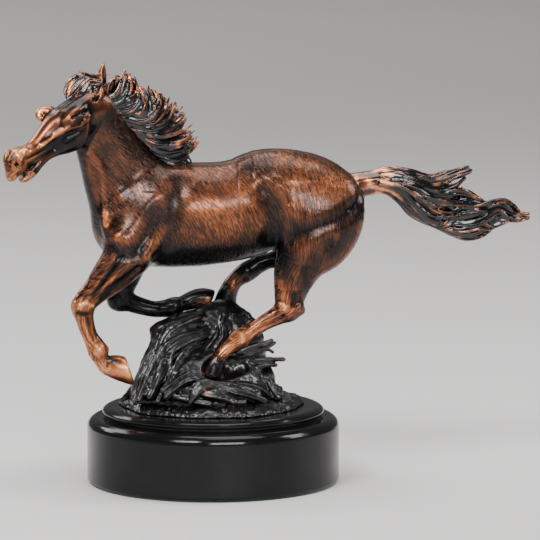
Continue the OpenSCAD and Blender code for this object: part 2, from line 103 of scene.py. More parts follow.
# ---------------------------------------------------------------- sculpting
class Clay:
    """Signed distances to a surface, in mm, on a regular grid of points"""

    def __init__(self, low, high, step, far=FAR):
        self.low = np.array(low, float)
        self.step = step
        self.far = far
        self.shape = tuple(int(math.ceil((h - l) / step)) + 1 for l, h in zip(low, high))
        self.d = np.full(self.shape, far, np.float32)

    def window(self, low, high):
        """Slices of the grid that cover a box, and the three coordinates of their points"""
        first = np.clip(np.floor((np.array(low) - self.low) / self.step).astype(int), 0, self.shape)
        last = np.clip(np.ceil((np.array(high) - self.low) / self.step).astype(int) + 1, 0, self.shape)
        axes = [(self.low[a] + self.step * np.arange(first[a], last[a])).astype(np.float32) for a in range(3)]
        box = tuple(slice(first[a], last[a]) for a in range(3))
        return box, (axes[0][:, None, None], axes[1][None, :, None], axes[2][None, None, :])

    def chain(self, rows, side, flutes=None):
        """Distances to a tapering body through rows of x, y, z, half height, half width

        flutes is how many grooves run along it, how deep they are, and how far they turn from end to end
        """
        points, high, wide = rows[:, :3], rows[:, 3], rows[:, 4]
        tangent, up_axis, wide_axis = section_axes(points, side)
        reach = np.maximum(high, wide) + self.far
        whole, _ = self.window(points.min(0) - reach.max(), points.max(0) + reach.max())
        start = np.array([s.start for s in whole])
        out = np.full([s.stop - s.start for s in whole], self.far, np.float32)
        for i in range(len(points) - 1):
            r = max(reach[i], reach[i + 1])
            box, (x, y, z) = self.window(np.minimum(points[i], points[i + 1]) - r,
                                         np.maximum(points[i], points[i + 1]) + r)
            if any(s.stop <= s.start for s in box):
                continue
            c, along = points[i], points[i + 1] - points[i]
            x, y, z = x - c[0], y - c[1], z - c[2]
            t = np.clip((x * along[0] + y * along[1] + z * along[2]) / max((along ** 2).sum(), 1e-9), 0, 1)
            x, y, z = x - t * along[0], y - t * along[1], z - t * along[2]
            f0, f1 = up_axis[i], up_axis[i + 1] - up_axis[i]
            w0, w1 = wide_axis[i], wide_axis[i + 1] - wide_axis[i]
            u = x * (f0[0] + t * f1[0]) + y * (f0[1] + t * f1[1]) + z * (f0[2] + t * f1[2])
            w = x * (w0[0] + t * w1[0]) + y * (w0[1] + t * w1[1]) + z * (w0[2] + t * w1[2])
            left = np.maximum(x * x + y * y + z * z - u * u - w * w, 0)
            a = high[i] + t * (high[i + 1] - high[i])
            b = wide[i] + t * (wide[i + 1] - wide[i])
            m2 = np.minimum(a, b) ** 2
            u2, w2 = (u / a) ** 2, (w / b) ** 2
            k0 = np.sqrt(u2 + w2 + left / m2)
            k1 = np.sqrt(u2 / (a * a) + w2 / (b * b) + left / (m2 * m2)) + 1e-6
            d = k0 * (k0 - 1) / k1
            if flutes:
                count, depth, turn = flutes
                share = (i + t) / (len(points) - 1)
                fade = (np.clip(4 * share, 0, 1) * np.clip(np.minimum(a, b) / 1.2, 0, 1)
                        * np.clip(k0 * 1.5 - 0.4, 0, 1))
                d = d + depth * fade * np.cos(count * np.arctan2(w / b, u / a) + turn * share)
            part = tuple(slice(box[n].start - start[n], box[n].stop - start[n]) for n in range(3))
            out[part] = np.minimum(out[part], d)
        return whole, out

    def solid(self, stations, spacing, side, flutes=None, flat=None):
        """Distances to a body through stations; flat is a point and the direction it is cut off square to"""
        box, d = self.chain(curve(stations, spacing), side, flutes)
        if flat:
            outward = unit(np.array(flat[1], float))
            x, y, z = (self.low[n] + self.step * np.arange(box[n].start, box[n].stop) - flat[0][n]
                       for n in range(3))
            beyond = (x[:, None, None] * outward[0] + y[None, :, None] * outward[1]
                      + z[None, None, :] * outward[2])
            d = -smin(-d, -beyond.astype(np.float32), 1.6)
        return box, d

    def add(self, stations, blend=2.0, spacing=2.0, side=(0, 1, 0), flutes=None, flat=None):
        box, d = self.solid(stations, spacing, side, flutes, flat)
        self.d[box] = smin(self.d[box], d, blend)

    def cut(self, stations, blend=1.0, spacing=1.5, side=(0, 1, 0), flat=None):
        box, d = self.solid(stations, spacing, side, flat=flat)
        self.d[box] = -smin(-self.d[box], d, blend)

    def press(self, points, radius, height, sharp=2.0):
        """Raises the surface near a line of points by height, or lowers it where height is below 0"""
        pts = np.array(points, float)
        if len(pts) == 1:
            pts = np.vstack([pts, pts + 0.01])
        reach = 2.3 * radius
        box, (x, y, z) = self.window(pts.min(0) - reach, pts.max(0) + reach)
        near = np.full([s.stop - s.start for s in box], 1e9, np.float32)
        for p, q in zip(pts[:-1], pts[1:]):
            along = q - p
            dx, dy, dz = x - p[0], y - p[1], z - p[2]
            t = np.clip((dx * along[0] + dy * along[1] + dz * along[2]) / max((along ** 2).sum(), 1e-9), 0, 1)
            near = np.minimum(near, (dx - t * along[0]) ** 2 + (dy - t * along[1]) ** 2
                              + (dz - t * along[2]) ** 2)
        self.d[box] -= (height * np.exp(-(near / radius ** 2) ** (sharp / 2))).astype(np.float32)

    def skin_y(self, x, z, side):
        """Where the surface is met coming in along Y, from the near side (-1) or the far side (1)"""
        i = int(round((x - self.low[0]) / self.step))
        k = int(round((z - self.low[2]) / self.step))
        column = self.d[min(max(i, 0), self.shape[0] - 1), :, min(max(k, 0), self.shape[2] - 1)]
        inside = np.nonzero(column < 0)[0]
        if len(inside) == 0:
            return None
        return self.low[1] + self.step * (inside[0] if side < 0 else inside[-1])

    def on_skin(self, outline, side):
        """Points of a line given as (x, z), laid on the surface of one side"""
        line = curve([(x, z, 0) for x, z in outline], 1.5)[:, :2]
        found = [(x, self.skin_y(x, z, side), z) for x, z in line]
        found = np.array([p for p in found if p[1] is not None])
        if len(found) > 4:
            edge = np.pad(found[:, 1], 2, mode="edge")
            found[:, 1] = np.convolve(edge, np.full(5, 0.2), mode="valid")
        return found

    def press_skin(self, outline, radius, height, sides=(-1, 1)):
        for side in sides:
            points = self.on_skin(outline, side)
            if len(points):
                self.press(points, radius, height)

    def sample(self, grid, points):
        """Values of a grid at points, in mm, by linear blending"""
        g = (points - self.low) / self.step
        i = np.clip(np.floor(g).astype(int), 0, np.array(self.shape) - 2)
        f = (g - i).astype(np.float32)
        out = 0
        for dx in (0, 1):
            for dy in (0, 1):
                for dz in (0, 1):
                    weight = (abs(1 - dx - f[:, 0]) * abs(1 - dy - f[:, 1]) * abs(1 - dz - f[:, 2]))
                    out = out + weight * grid[i[:, 0] + dx, i[:, 1] + dy, i[:, 2] + dz]
        return out

    def blurred(self, radius):
        """The distances, averaged over a box of about radius mm"""
        n = max(1, int(round(radius / self.step)))
        g = np.clip(self.d, -self.far, self.far)
        for axis in range(3):
            pad = [(0, 0)] * 3
            pad[axis] = (n + 1, n)
            c = np.cumsum(np.pad(g, pad, mode="edge"), axis=axis, dtype=np.float64)
            high = np.take(c, range(2 * n + 1, c.shape[axis]), axis=axis)
            low = np.take(c, range(0, c.shape[axis] - 2 * n - 1), axis=axis)
            g = ((high - low) / (2 * n + 1)).astype(np.float32)
        return g

    def skin(self):
        """Vertices in mm and quads of the surface"""
        grid = openvdb.FloatGrid(background=self.far)
        grid.copyFromArray(np.clip(self.d, -self.far, self.far).astype(np.float32), tolerance=0.0)
        points, quads = grid.convertToQuads(isovalue=0.0)
        return points * self.step + self.low, quads


def noise3(points, scale, seed):
    """Smooth random values in about -1..1 at points, from a lattice of random numbers"""
    lattice = np.random.default_rng(seed).uniform(-1, 1, (32, 32, 32))
    g = points / scale + 100.0
    i = np.floor(g).astype(int)
    f = g - i
    f = f * f * (3 - 2 * f)
    out = 0
    for dx in (0, 1):
        for dy in (0, 1):
            for dz in (0, 1):
                weight = abs(1 - dx - f[:, 0]) * abs(1 - dy - f[:, 1]) * abs(1 - dz - f[:, 2])
                out = out + weight * lattice[(i[:, 0] + dx) % 32, (i[:, 1] + dy) % 32, (i[:, 2] + dz) % 32]
    return out


# ---------------------------------------------------------------- meshes
def face_normals(points, quads):
    return np.cross(points[quads[:, 2]] - points[quads[:, 0]], points[quads[:, 3]] - points[quads[:, 1]])


def vertex_normals(points, quads):
    per_face = face_normals(points, quads)
    out = np.zeros_like(points)
    for corner in range(4):
        np.add.at(out, quads[:, corner], per_face)
    return unit(out)


def make_piece(name, points, faces, normals, **values):
    """A mesh object from points in mm; faces is a list of arrays, all quads or all triangles in each"""
    mesh = bpy.data.meshes.new(name)
    mesh.vertices.add(len(points))
    mesh.vertices.foreach_set("co", (points * MM).astype(np.float32).ravel())
    sizes = np.concatenate([np.full(len(f), f.shape[1], np.int32) for f in faces if len(f)])
    corners = np.concatenate([f.ravel() for f in faces if len(f)]).astype(np.int32)
    mesh.loops.add(len(corners))
    mesh.loops.foreach_set("vertex_index", corners)
    mesh.polygons.add(len(sizes))
    mesh.polygons.foreach_set("loop_start", np.concatenate([[0], np.cumsum(sizes)[:-1]]).astype(np.int32))
    mesh.update(calc_edges=True)
    mesh.validate()
    mesh.shade_smooth()
    mesh.normals_split_custom_set_from_vertices(normals.astype(np.float32))
    for key, value in values.items():
        layer = mesh.attributes.new(key, "FLOAT", "POINT")
        layer.data.foreach_set("value", np.asarray(value, np.float32))
    piece = bpy.data.objects.new(name, mesh)
    bpy.context.scene.collection.objects.link(piece)
    return piece


def largest_part(points, quads):
    """Drops loose crumbs: keeps only the parts with at least a hundredth of the faces"""
    parent = np.arange(len(points))
    a, b = quads.ravel(), np.roll(quads, -1, axis=1).ravel()
    while True:
        low = np.minimum(parent[a], parent[b])
        before = parent.copy()
        np.minimum.at(parent, a, low)
        np.minimum.at(parent, b, low)
        parent = parent[parent]
        if (parent == before).all():
            break
    label, count = np.unique(parent[quads[:, 0]], return_counts=True)
    keep = np.isin(parent[quads[:, 0]], label[count * 100 >= len(quads)])
    quads = quads[keep]
    used, inverse = np.unique(quads, return_inverse=True)
    return points[used], inverse.reshape(quads.shape)


def split_pieces(points, quads, labels, names, normals, values):
    """Cuts one skin into closed pieces: each open edge between two labels is capped"""
    edges = np.sort(np.stack([quads, np.roll(quads, -1, axis=1)], -1).reshape(-1, 2), axis=1)
    edge_face = np.repeat(np.arange(len(quads)), 4)
    order = np.lexsort((edges[:, 1], edges[:, 0]))
    same = (edges[order][1:] == edges[order][:-1]).all(1)
    first, second = edge_face[order][:-1][same], edge_face[order][1:][same]
    shared = edges[order][:-1][same]
    seam = labels[first] != labels[second]
    pairs = np.sort(np.stack([labels[first[seam]], labels[second[seam]]], 1), axis=1)
    seam_edges = shared[seam]
    pieces = {}
    for n, name in enumerate(names):
        own = quads[labels == n]
        caps, extra = [], []
        directed = set(map(tuple, np.stack([own, np.roll(own, -1, axis=1)], -1).reshape(-1, 2)))
        for pair in np.unique(pairs[(pairs == n).any(1)], axis=0):
            loop = seam_edges[(pairs == pair).all(1)]
            middle = points[np.unique(loop)].mean(0)
            hub = len(points) + len(extra)
            extra.append(middle)
            for a, b in loop:
                caps.append((b, a, hub) if (a, b) in directed else (a, b, hub))
        all_points = np.vstack([points, np.array(extra).reshape(-1, 3)])
        all_normals = np.vstack([normals, np.tile([0.0, 0.0, 1.0], (len(extra), 1))])
        caps = np.array(caps, int).reshape(-1, 3)
        used, inverse = np.unique(np.concatenate([own.ravel(), caps.ravel()]), return_inverse=True)
        faces = [inverse[:own.size].reshape(own.shape), inverse[own.size:].reshape(caps.shape)]
        own_values = {k: np.concatenate([v, np.zeros(len(extra))])[used] for k, v in values.items()}
        pieces[name] = make_piece(name, all_points[used], faces, all_normals[used], **own_values)
    return pieces


# ---------------------------------------------------------------- the horse's masses
# A station is x, y, z, half height, half width
TRACK = 12.0                     # how far the legs stand from the middle plane
TORSO = [
    (-52, 0, 129, 7, 6), (-50, 0, 129.4, 13, 10), (-46, 0, 130, 18.4, 13.6), (-36, 0, 132.5, 23.4, 17.5),
    (-24, 0, 134.3, 26, 19), (-10, 0, 134.5, 26, 19.6), (4, 0, 135.3, 25.4, 20), (16, 0, 138, 24.7, 19.4),
    (26, 0, 141.4, 24.9, 18.4), (38, 0, 142.6, 23.6, 18.6), (49, 0, 142.4, 20.8, 18),
    (58.4, 0, 141.4, 16.6, 14.8), (66, 0, 142.4, 11, 10.4), (71.4, 0, 143.4, 5, 5)]
NECK = [
    (-28, 0, 134, 24, 14), (-36, 0, 143, 22.5, 13), (-43, -1, 152, 20, 11), (-49, -2.5, 162, 17.4, 9.6),
    (-54, -4.5, 172, 15.4, 8.6), (-57.5, -6, 180, 13.8, 8.4), (-61, -7.5, 188, 11.5, 8)]
THROAT = [
    (-59, -6, 170, 6.6, 5.4), (-58, -4, 161, 7.2, 6), (-56.6, -2.4, 152, 7.6, 6.6),
    (-54.6, -1, 143, 7.6, 7.6), (-52.6, -0.5, 135, 7.6, 8.6), (-49.6, 0, 127, 7.4, 9), (-46, 0, 121, 7, 9)]
NEAR_FORE_ARM = [
    (-36, 4 - TRACK, 130, 13, 8), (-42, 1 - TRACK, 120.5, 13.2, 9.3), (-46, -TRACK, 113.5, 10.8, 8.4),
    (-52.5, -TRACK, 105.8, 8.9, 7), (-59.5, -TRACK, 98.8, 6.7, 5.6), (-64.7, -TRACK, 93.6, 5.8, 5),
    (-66.4, -TRACK, 90.2, 4.6, 4.4)]
NEAR_FORE_SHIN = [
    (-66.4, -TRACK, 91.8, 5, 4.6), (-66.3, -TRACK, 89.6, 5.5, 4.9), (-65.6, -TRACK, 85.5, 4.7, 4.4),
    (-64.4, -TRACK, 80.5, 4.1, 3.7), (-62.6, -TRACK, 75.6, 3.9, 3.5), (-60.4, -TRACK, 71.5, 4.6, 4),
    (-59.1, -TRACK, 68.7, 5.1, 4.4), (-57.8, -TRACK, 65.2, 4.1, 3.8), (-56, -TRACK, 62.2, 3.9, 3.8),
    (-53.6, -TRACK, 60.4, 4.3, 4.2)]
NEAR_FORE_HOOF = [
    (-55, -TRACK, 61.4, 4.4, 4.3), (-51.4, -TRACK, 60.4, 5.5, 5), (-47.6, -TRACK, 59.5, 6.3, 5.5),
    (-42, -TRACK, 58.4, 7.2, 6.2)]
FAR_FORE_ARM = [
    (-36, TRACK - 4, 129, 12, 8), (-40, TRACK - 1, 118, 12, 9), (-42, TRACK, 109, 9.6, 8),
    (-43.5, TRACK, 101, 7.4, 6.4), (-45, TRACK, 94.5, 6, 5.4), (-46.2, TRACK, 90, 4.8, 4.8)]
FAR_FORE_SHIN = [
    (-47.4, TRACK, 90.4, 4.6, 4.8), (-45, TRACK, 89.8, 4.9, 4.8), (-41, TRACK, 89.2, 4.8, 4.5),
    (-35, TRACK, 87.2, 4.4, 3.9), (-28.5, TRACK, 85.6, 4.1, 3.7), (-22.5, TRACK, 85.8, 4.5, 4.1),
    (-18.5, TRACK, 86.6, 4.9, 4.4), (-14, TRACK, 88, 3.9, 3.8), (-10, TRACK, 89.3, 4.2, 4.2)]
FAR_FORE_HOOF = [
    (-11.6, TRACK, 88.8, 4.3, 4.3), (-8, TRACK, 90, 4.9, 4.8), (-3.6, TRACK, 90.4, 5.4, 5.2),
    (2, TRACK, 89.4, 5.2, 5.2)]
NEAR_THIGH = [
    (50, 5 - TRACK, 151, 13, 7), (52, 2.5 - TRACK, 143, 20, 9.6), (53, 1 - TRACK, 134, 21, 10.8),
    (49.4, -TRACK, 123, 18.6, 10.2), (43.6, -TRACK, 113.6, 13, 8.8), (40.2, -TRACK, 106.5, 10.6, 7.4),
    (38.4, -TRACK, 100, 8.8, 6.2), (37.2, -TRACK, 94.4, 7.6, 5.4), (36.6, -TRACK, 90, 6.6, 5)]
NEAR_HIND_SHIN = [
    (40, -TRACK, 88.6, 4.6, 3.6), (36.6, -TRACK, 87, 5.9, 4.6), (31.5, -TRACK, 84.7, 4.9, 4.2),
    (25, -TRACK, 81.4, 4.1, 3.7), (18.5, -TRACK, 77.4, 3.8, 3.5), (12, -TRACK, 73.6, 4.6, 4.2),
    (7, -TRACK, 69.4, 3.4, 3.5), (3, -TRACK, 65.6, 3.3, 3.5), (0.8, -TRACK, 62.4, 3.9, 4)]
NEAR_HIND_HOOF = [
    (0.6, -TRACK, 62, 4.5, 4.5), (-1, -TRACK, 59, 5.5, 5.2), (-2.6, -TRACK, 54, 6.9, 6)]
FAR_THIGH = [
    (50, TRACK - 5, 151, 13, 7), (51, TRACK - 2.5, 143, 19.4, 9.6), (51, TRACK - 1, 134, 19.4, 10),
    (47.4, TRACK, 124, 14.6, 9.4), (43.5, TRACK, 116, 11, 7.8), (43.5, TRACK, 110.5, 8, 6),
    (44.5, TRACK, 106, 6, 4.6)]
FAR_HIND_SHIN = [
    (47.6, TRACK, 105.4, 4, 3.6), (44, TRACK, 106.6, 5.4, 4.6), (37.5, TRACK, 108.8, 4.7, 4.1),
    (31, TRACK, 109.2, 4.1, 3.8), (25, TRACK, 107.2, 4.4, 3.8), (19, TRACK, 103.8, 5.2, 4.3),
    (14, TRACK, 100.4, 4.4, 4), (10.8, TRACK, 97, 4.1, 4)]
FAR_HIND_HOOF = [
    (11, TRACK, 97, 4.3, 4.2), (9, TRACK, 92.8, 4.9, 4.7), (7.8, TRACK, 88.4, 5.6, 5.2),
    (6.8, TRACK, 83.6, 6.6, 6)]
HOOVES = [NEAR_FORE_HOOF, FAR_FORE_HOOF, NEAR_HIND_HOOF, FAR_HIND_HOOF]
# A point on each hoof's sole and the way the sole faces, in the same order
SOLES = [((-43.2, -TRACK, 59), (0.95, 0, 0.31)), ((0.6, TRACK, 89.8), (0.9, 0, -0.44)),
         ((-2.2, -TRACK, 53.8), (-0.25, 0, -0.97)), ((7, TRACK, 85), (-0.2, 0, -0.98))]

# The head is measured from the poll: along the face, towards the near side, and up from the face
POLL = np.array([-56.0, -6.0, 196.0])
HEAD_YAW = math.radians(26.6)
HEAD_PITCH = math.radians(30.0)
FACE = np.array([-math.cos(HEAD_PITCH) * math.cos(HEAD_YAW), -math.cos(HEAD_PITCH) * math.sin(HEAD_YAW),
                 -math.sin(HEAD_PITCH)])
NEAR = np.array([math.sin(HEAD_YAW), -math.cos(HEAD_YAW), 0.0])
CROWN = np.array([-math.sin(HEAD_PITCH) * math.cos(HEAD_YAW), -math.sin(HEAD_PITCH) * math.sin(HEAD_YAW),
                  math.cos(HEAD_PITCH)])


def head_point(along, near, up):
    return POLL + along * FACE + near * NEAR + up * CROWN


def head_stations(rows):
    """Stations given as along, near, up, half height, half width"""
    return [(*head_point(a, n, u), h, w) for a, n, u, h, w in rows]


def head_line(rows):
    return [head_point(*row) for row in rows]


SKULL = [
    (-4, 0, -6, 8, 6), (2, 0, -5.6, 9, 7.6), (9, 0, -3.4, 9.6, 8.8), (16, 0, -2, 9.4, 9.4),
    (24, 0, -1.6, 9, 9.2), (32, 0, -2, 7.6, 7.2), (40, 0, -3.2, 6, 5.6), (47, 0, -3.8, 5, 4.8),
    (53, 0, -3, 5, 4.8), (57.5, 0, -2.8, 5, 4.8), (60.5, 0, -4.4, 4, 4.4)]
FAR_EYE_AHEAD = 4.0              # the far eye and brow stand this much further along the face


# Stations of the masses on each side of the head, given for the near side
BROW = [(17, 7.2, 2.2, 1.6, 1.8), (21.4, 8.2, 3, 1.8, 1.9), (25, 8, 2.8, 1.8, 1.9), (28, 6.8, 1.8, 1.4, 1.6)]
JOWL = [(19.5, 4, -4, 6.4, 5), (26, 5, -6, 8.4, 5.4), (33, 4.4, -7, 6.2, 4.6)]
JAW = [(30, 3.6, -10.6, 3.4, 2.8), (37, 3.2, -9.4, 2.6, 2.4), (43, 2.6, -8.8, 2.2, 2.2),
       (49, 2, -9.6, 2.4, 2.4), (54, 1.4, -11, 2.4, 2.6)]
CHEEK_BONE_EYE = [(16, 9.6, -1.8, 1.3, 1.2), (23, 9.8, -2.8, 1.3, 1.3)]
CHEEK_BONE_NOSE = [(30, 8.2, -1.6, 1.3, 1.3), (36, 6.2, -1.4, 1.3, 1.3), (44, 4.8, -1.6, 1, 1)]
NOSTRIL_WING = [(53, 3.8, 0.6, 2, 1.8), (57, 4.6, 1, 2.4, 1.9), (60, 4.4, -1, 2.6, 1.9),
                (61.4, 3.6, -3.6, 2, 1.8)]
NOSTRIL = [(60.2, 7, 1.4, 0.7, 1.4), (61.4, 6.4, -0.8, 1.3, 1.8), (61, 5, -2.4, 0.9, 1.4)]
EYE = (23.2, 10, -0.4)
EYE_BALL = [(22, 8.7, -0.4, 2, 2), (24.2, 8.5, -0.5, 2, 2)]
# Lines round each eye, as (along, near, up): points, width, height
EYE_LINES = [
    # the two lids
    ([(18.6, 9.8, -1), (20.4, 10.4, 0.9), (23, 10.6, 1.8), (26, 9.8, 1), (28, 8.6, -0.8)], 0.75, 1.3),
    ([(18.8, 10, -1.4), (22, 10.4, -2.8), (25.4, 9.8, -2.4), (28, 8.6, -1)], 0.7, 1.1),
    # folds above and behind
    ([(16.4, 9.8, 0.8), (20, 10.4, 2.4), (24.6, 10.2, 2.6)], 0.7, -0.6),
    ([(14.6, 9.8, -0.2), (18.4, 10.2, -0.4)], 0.8, 0.7),
    ([(14.4, 9.8, 1.2), (18, 10.2, 1)], 0.6, -0.5)]
# Lines on each side of the face
FACE_LINES = [
    ([(29.4, 9.4, -5), (34, 8.2, -4.8), (39, 6.6, -4.2)], 3.4, -0.9),        # under the cheek bone
    ([(26, 10, -4.4), (31, 9, -3.4)], 1.6, -0.6),
    ([(38, 6.2, 0.4), (46, 5.4, 0), (53, 5.8, 0.8)], 0.8, -1.0),             # side of the nose
    ([(41, 5.8, -3.6), (48, 5.2, -3.4), (54, 5.8, -2.4)], 0.8, -1.1),
    ([(42, 5.4, -6), (49, 5, -5.8), (55, 5.4, -5)], 0.9, -0.7),
    ([(44, 5.6, -4.8), (50, 5.4, -4.6)], 0.7, 0.4),
    ([(56, 5.6, -5.4), (60, 5.4, -6.6), (63, 4.4, -6.6)], 0.8, -0.6),                       # lips
    ([(52, 4, -10.4), (56, 4, -11), (59, 3.4, -11)], 0.7, -0.4),
    ([(10, 9, 3), (14, 9.6, 2.6), (17, 9.8, 1.2)], 1.8, -1.1),                              # temple
    ([(14.6, 9.6, -1.5), (16.6, 9.8, -8), (21, 9, -13.4), (27, 7, -16.6)], 1.7, -0.9),      # behind the jowl
    ([(17, 10, -2), (19.6, 10, -8), (24, 9, -12.4), (30, 7.6, -14)], 1.1, 0.5)]


def on_side(rows, s, ahead=0):
    """Rows of along, near, ... taken to the near side (1) or the far side (-1)"""
    return [(row[0] + ahead, s * row[1], *row[2:]) for row in rows]


def sculpt_head(clay):
    def add(rows, blend, spacing):
        clay.add(head_stations(rows), blend=blend, spacing=spacing, side=NEAR)

    def cut(rows, blend, spacing):
        clay.cut(head_stations(rows), blend=blend, spacing=spacing, side=NEAR)

    add(SKULL, 3, 1.5)
    for s, ahead in ((1, 0), (-1, FAR_EYE_AHEAD)):
        add(on_side(JOWL, s), 2.4, 1.5)
        add(on_side(JAW, s), 2, 1.5)
        add(on_side(BROW, s, ahead), 3, 1)
        add(on_side(CHEEK_BONE_EYE, s, ahead) + on_side(CHEEK_BONE_NOSE, s), 1.8, 1)
        add(on_side(NOSTRIL_WING, s), 1.4, 0.8)
    # far brow reaches out past the face
    add([(25.4, -9.4, 4.6, 3, 2.8), (28.6, -11.4, 6, 2.7, 2.5), (31, -10.6, 4.8, 2, 2)], 1.6, 1)
    # nasal bone
    add([(26, 0, 4.8, 2.4, 4.4), (34, 0, 2.8, 2.2, 3.8), (42, 0, 0.2, 2, 3.2), (49, 0, -1.4, 2, 3),
         (55, 0, 0.6, 2, 3)], 2.4, 1.5)
    # upper lip and chin
    add([(58, 0, -5, 3.6, 4.6), (62, 0, -5.6, 3.4, 4.4), (64.4, 0, -7.4, 2.2, 3.4)], 1.6, 0.8)
    add([(51, 0, -11, 2.2, 3.2), (56, 0, -11.8, 2.4, 3.6), (59.4, 0, -12, 1.8, 2.8)], 1.2, 0.8)
    # mouth, and the teeth line in it
    cut([(49, 0, -7.8, 0.25, 8), (53, 0, -8.6, 0.4, 9), (59, 0, -9.8, 0.6, 9), (66, 0, -10.8, 0.8, 9)],
        0.4, 0.7)
    add([(50, 0, -8.6, 1.6, 2.4), (57, 0, -9.8, 1.4, 2.4)], 0.4, 1)
    for s, ahead in ((1, 0), (-1, FAR_EYE_AHEAD)):
        cut(on_side(NOSTRIL, s), 0.6, 0.5)
        # the socket, then the ball and its lids
        clay.press(head_line(on_side([EYE], s, ahead)), 3.0, -1.5)
        add(on_side(EYE_BALL, s, ahead), 0.3, 0.6)
        for rows, width, height in EYE_LINES:
            clay.press(head_line(on_side(rows, s, ahead)), width, height)
        for rows, width, height in FACE_LINES:
            clay.press(head_line(on_side(rows, s)), width, height)
    clay.press(head_line([(12, 0, 7.6), (20, 0, 8), (28, 0, 7)]), 3, -0.9)


def sculpt_ears(clay):
    # each ear is a leaf, cupped by a cut down its front
    clay.add([(-60.8, -11.6, 189.6, 1.8, 2.2), (-58.8, -12.4, 192, 2.4, 2.4), (-57.2, -13, 195.6, 2, 2),
              (-56.6, -13.2, 199.6, 0.5, 0.5)], blend=1, spacing=0.6, side=(0.5, -0.85, 0))
    clay.cut([(-62.4, -15.2, 192.6, 1.1, 1.1), (-60.2, -15.4, 193.4, 1.3, 1.2), (-58.6, -15.4, 196, 1, 0.9),
              (-57.6, -14.8, 198.8, 0.4, 0.4)], blend=0.3, spacing=0.6)
    clay.add([(-56.5, -3, 197, 2.4, 2.6), (-55.6, -2.6, 202, 2.6, 2.4), (-55, -2, 206.6, 1.8, 1.6),
              (-54.2, -1.8, 211, 0.4, 0.4)], blend=1, spacing=0.6, side=(0.5, -0.85, 0))
    clay.cut([(-58.6, -5.8, 201, 1, 1), (-57, -5.2, 204, 1.2, 1.1), (-55.6, -3.8, 208, 0.4, 0.4)],
             blend=0.4, spacing=0.6)


def sculpt_legs(clay):
    for arm in (NEAR_FORE_ARM, FAR_FORE_ARM):
        clay.add(arm, blend=5, spacing=2)
    for thigh in (NEAR_THIGH, FAR_THIGH):
        clay.add(thigh, blend=6, spacing=2)
    for shin in (NEAR_FORE_SHIN, FAR_FORE_SHIN, NEAR_HIND_SHIN, FAR_HIND_SHIN):
        clay.add(shin, blend=2, spacing=1)
    for hoof, sole in zip(HOOVES, SOLES):
        clay.add(hoof, blend=0.8, spacing=0.8, flat=sole)


# Lines on both sides of the body, as (x, z): outline, width, height
BODY_LINES = [
    ([(-19, 152), (-20.5, 143), (-23, 134), (-27, 124), (-30, 117)], 4.6, -1.3),  # behind the shoulder
    ([(-43, 158), (-37, 152), (-33, 154)], 4.2, -0.25),                            # neck to shoulder blade
    ([(-28, 151), (-33, 142), (-39, 134), (-46, 128)], 6.5, 0.9),                 # shoulder blade
    ([(-29, 138), (-31, 134)], 4.2, -0.9),                                        # under it
    ([(-52.5, 121.5), (-46, 119.6), (-39, 122), (-35, 127)], 3.0, -0.9),          # under the shoulder muscle
    ([(-49, 116.4), (-43, 115.6), (-38, 116)], 2.4, -0.5),
    ([(-55.5, 136), (-54.5, 128), (-50, 125.6)], 3.0, 0.9),                       # point of the shoulder
    ([(-36, 115.4), (-31.6, 121), (-27, 128.5)], 3.6, 1.2),                       # triceps
    ([(-40, 118), (-36.4, 124), (-33, 130)], 2.8, -0.8),                          # in front of it
    ([(27.5, 151.4), (30, 150.4)], 3.4, 1.4),                                     # point of the hip
    ([(23.6, 147), (26.4, 140), (27.6, 131), (26, 123)], 5.4, -1.5),              # flank
    ([(33, 146), (35, 140.6), (34, 132), (31, 122)], 4.6, 0.6),                   # front edge of the thigh
    ([(41.5, 127), (49.5, 130), (60, 133.6), (68, 137.6)], 4.0, -0.8),            # across the haunch
    ([(39, 133), (38, 123)], 3.6, -0.6),                                          # stifle
    ([(56, 122), (48, 114.5), (43.6, 107.5), (44.2, 100), (42, 93)], 3.0, -0.9),  # along the gaskin
    ([(73, 150), (71, 143), (66, 138.4)], 2.0, -0.9),                             # beside the dock
]
NECK_FOLDS = [((-54.5, 150.1), (-46, 157.7)), ((-54.4, 147.2), (-43.5, 155.2)), ((-54, 144.4), (-42, 152.6)),
              ((-53.6, 141.4), (-41, 149.8)), ((-53.2, 138), (-41.5, 145.6)), ((-53, 134.6), (-44, 141))]


def sculpt_muscles(clay):
    for outline, width, height in BODY_LINES:
        clay.press_skin(outline, width, height)
    for (x0, z0), (x1, z1) in NECK_FOLDS:
        middle = ((x0 + x1) / 2 + 1.2, (z0 + z1) / 2 - 1.6)
        clay.press_skin([(x0, z0), middle, (x1, z1)], 0.9, -0.1)
    # jugular edge of the neck, and the throat falling back behind it
    clay.press_skin([(-65, 169), (-58, 162), (-55.6, 152), (-55.2, 141), (-55.6, 131)], 1.7, 0.6)
    clay.press_skin([(-44, 184), (-38, 176), (-31, 168)], 3.0, 0.8)
    clay.press_skin([(-58, 172), (-51, 160), (-45, 150)], 4.0, -0.9)
    # spine, sheath
    clay.press([(-8, 0, 161), (10, 0, 161.6), (30, 0, 167), (46, 0, 165.6)], 2.2, -0.4)
    clay.add([(14, 0, 113.6, 2, 2.4), (21, 0, 115.4, 2.6, 3), (26, 0, 116.6, 1.8, 2.2)], blend=1.6, spacing=1)


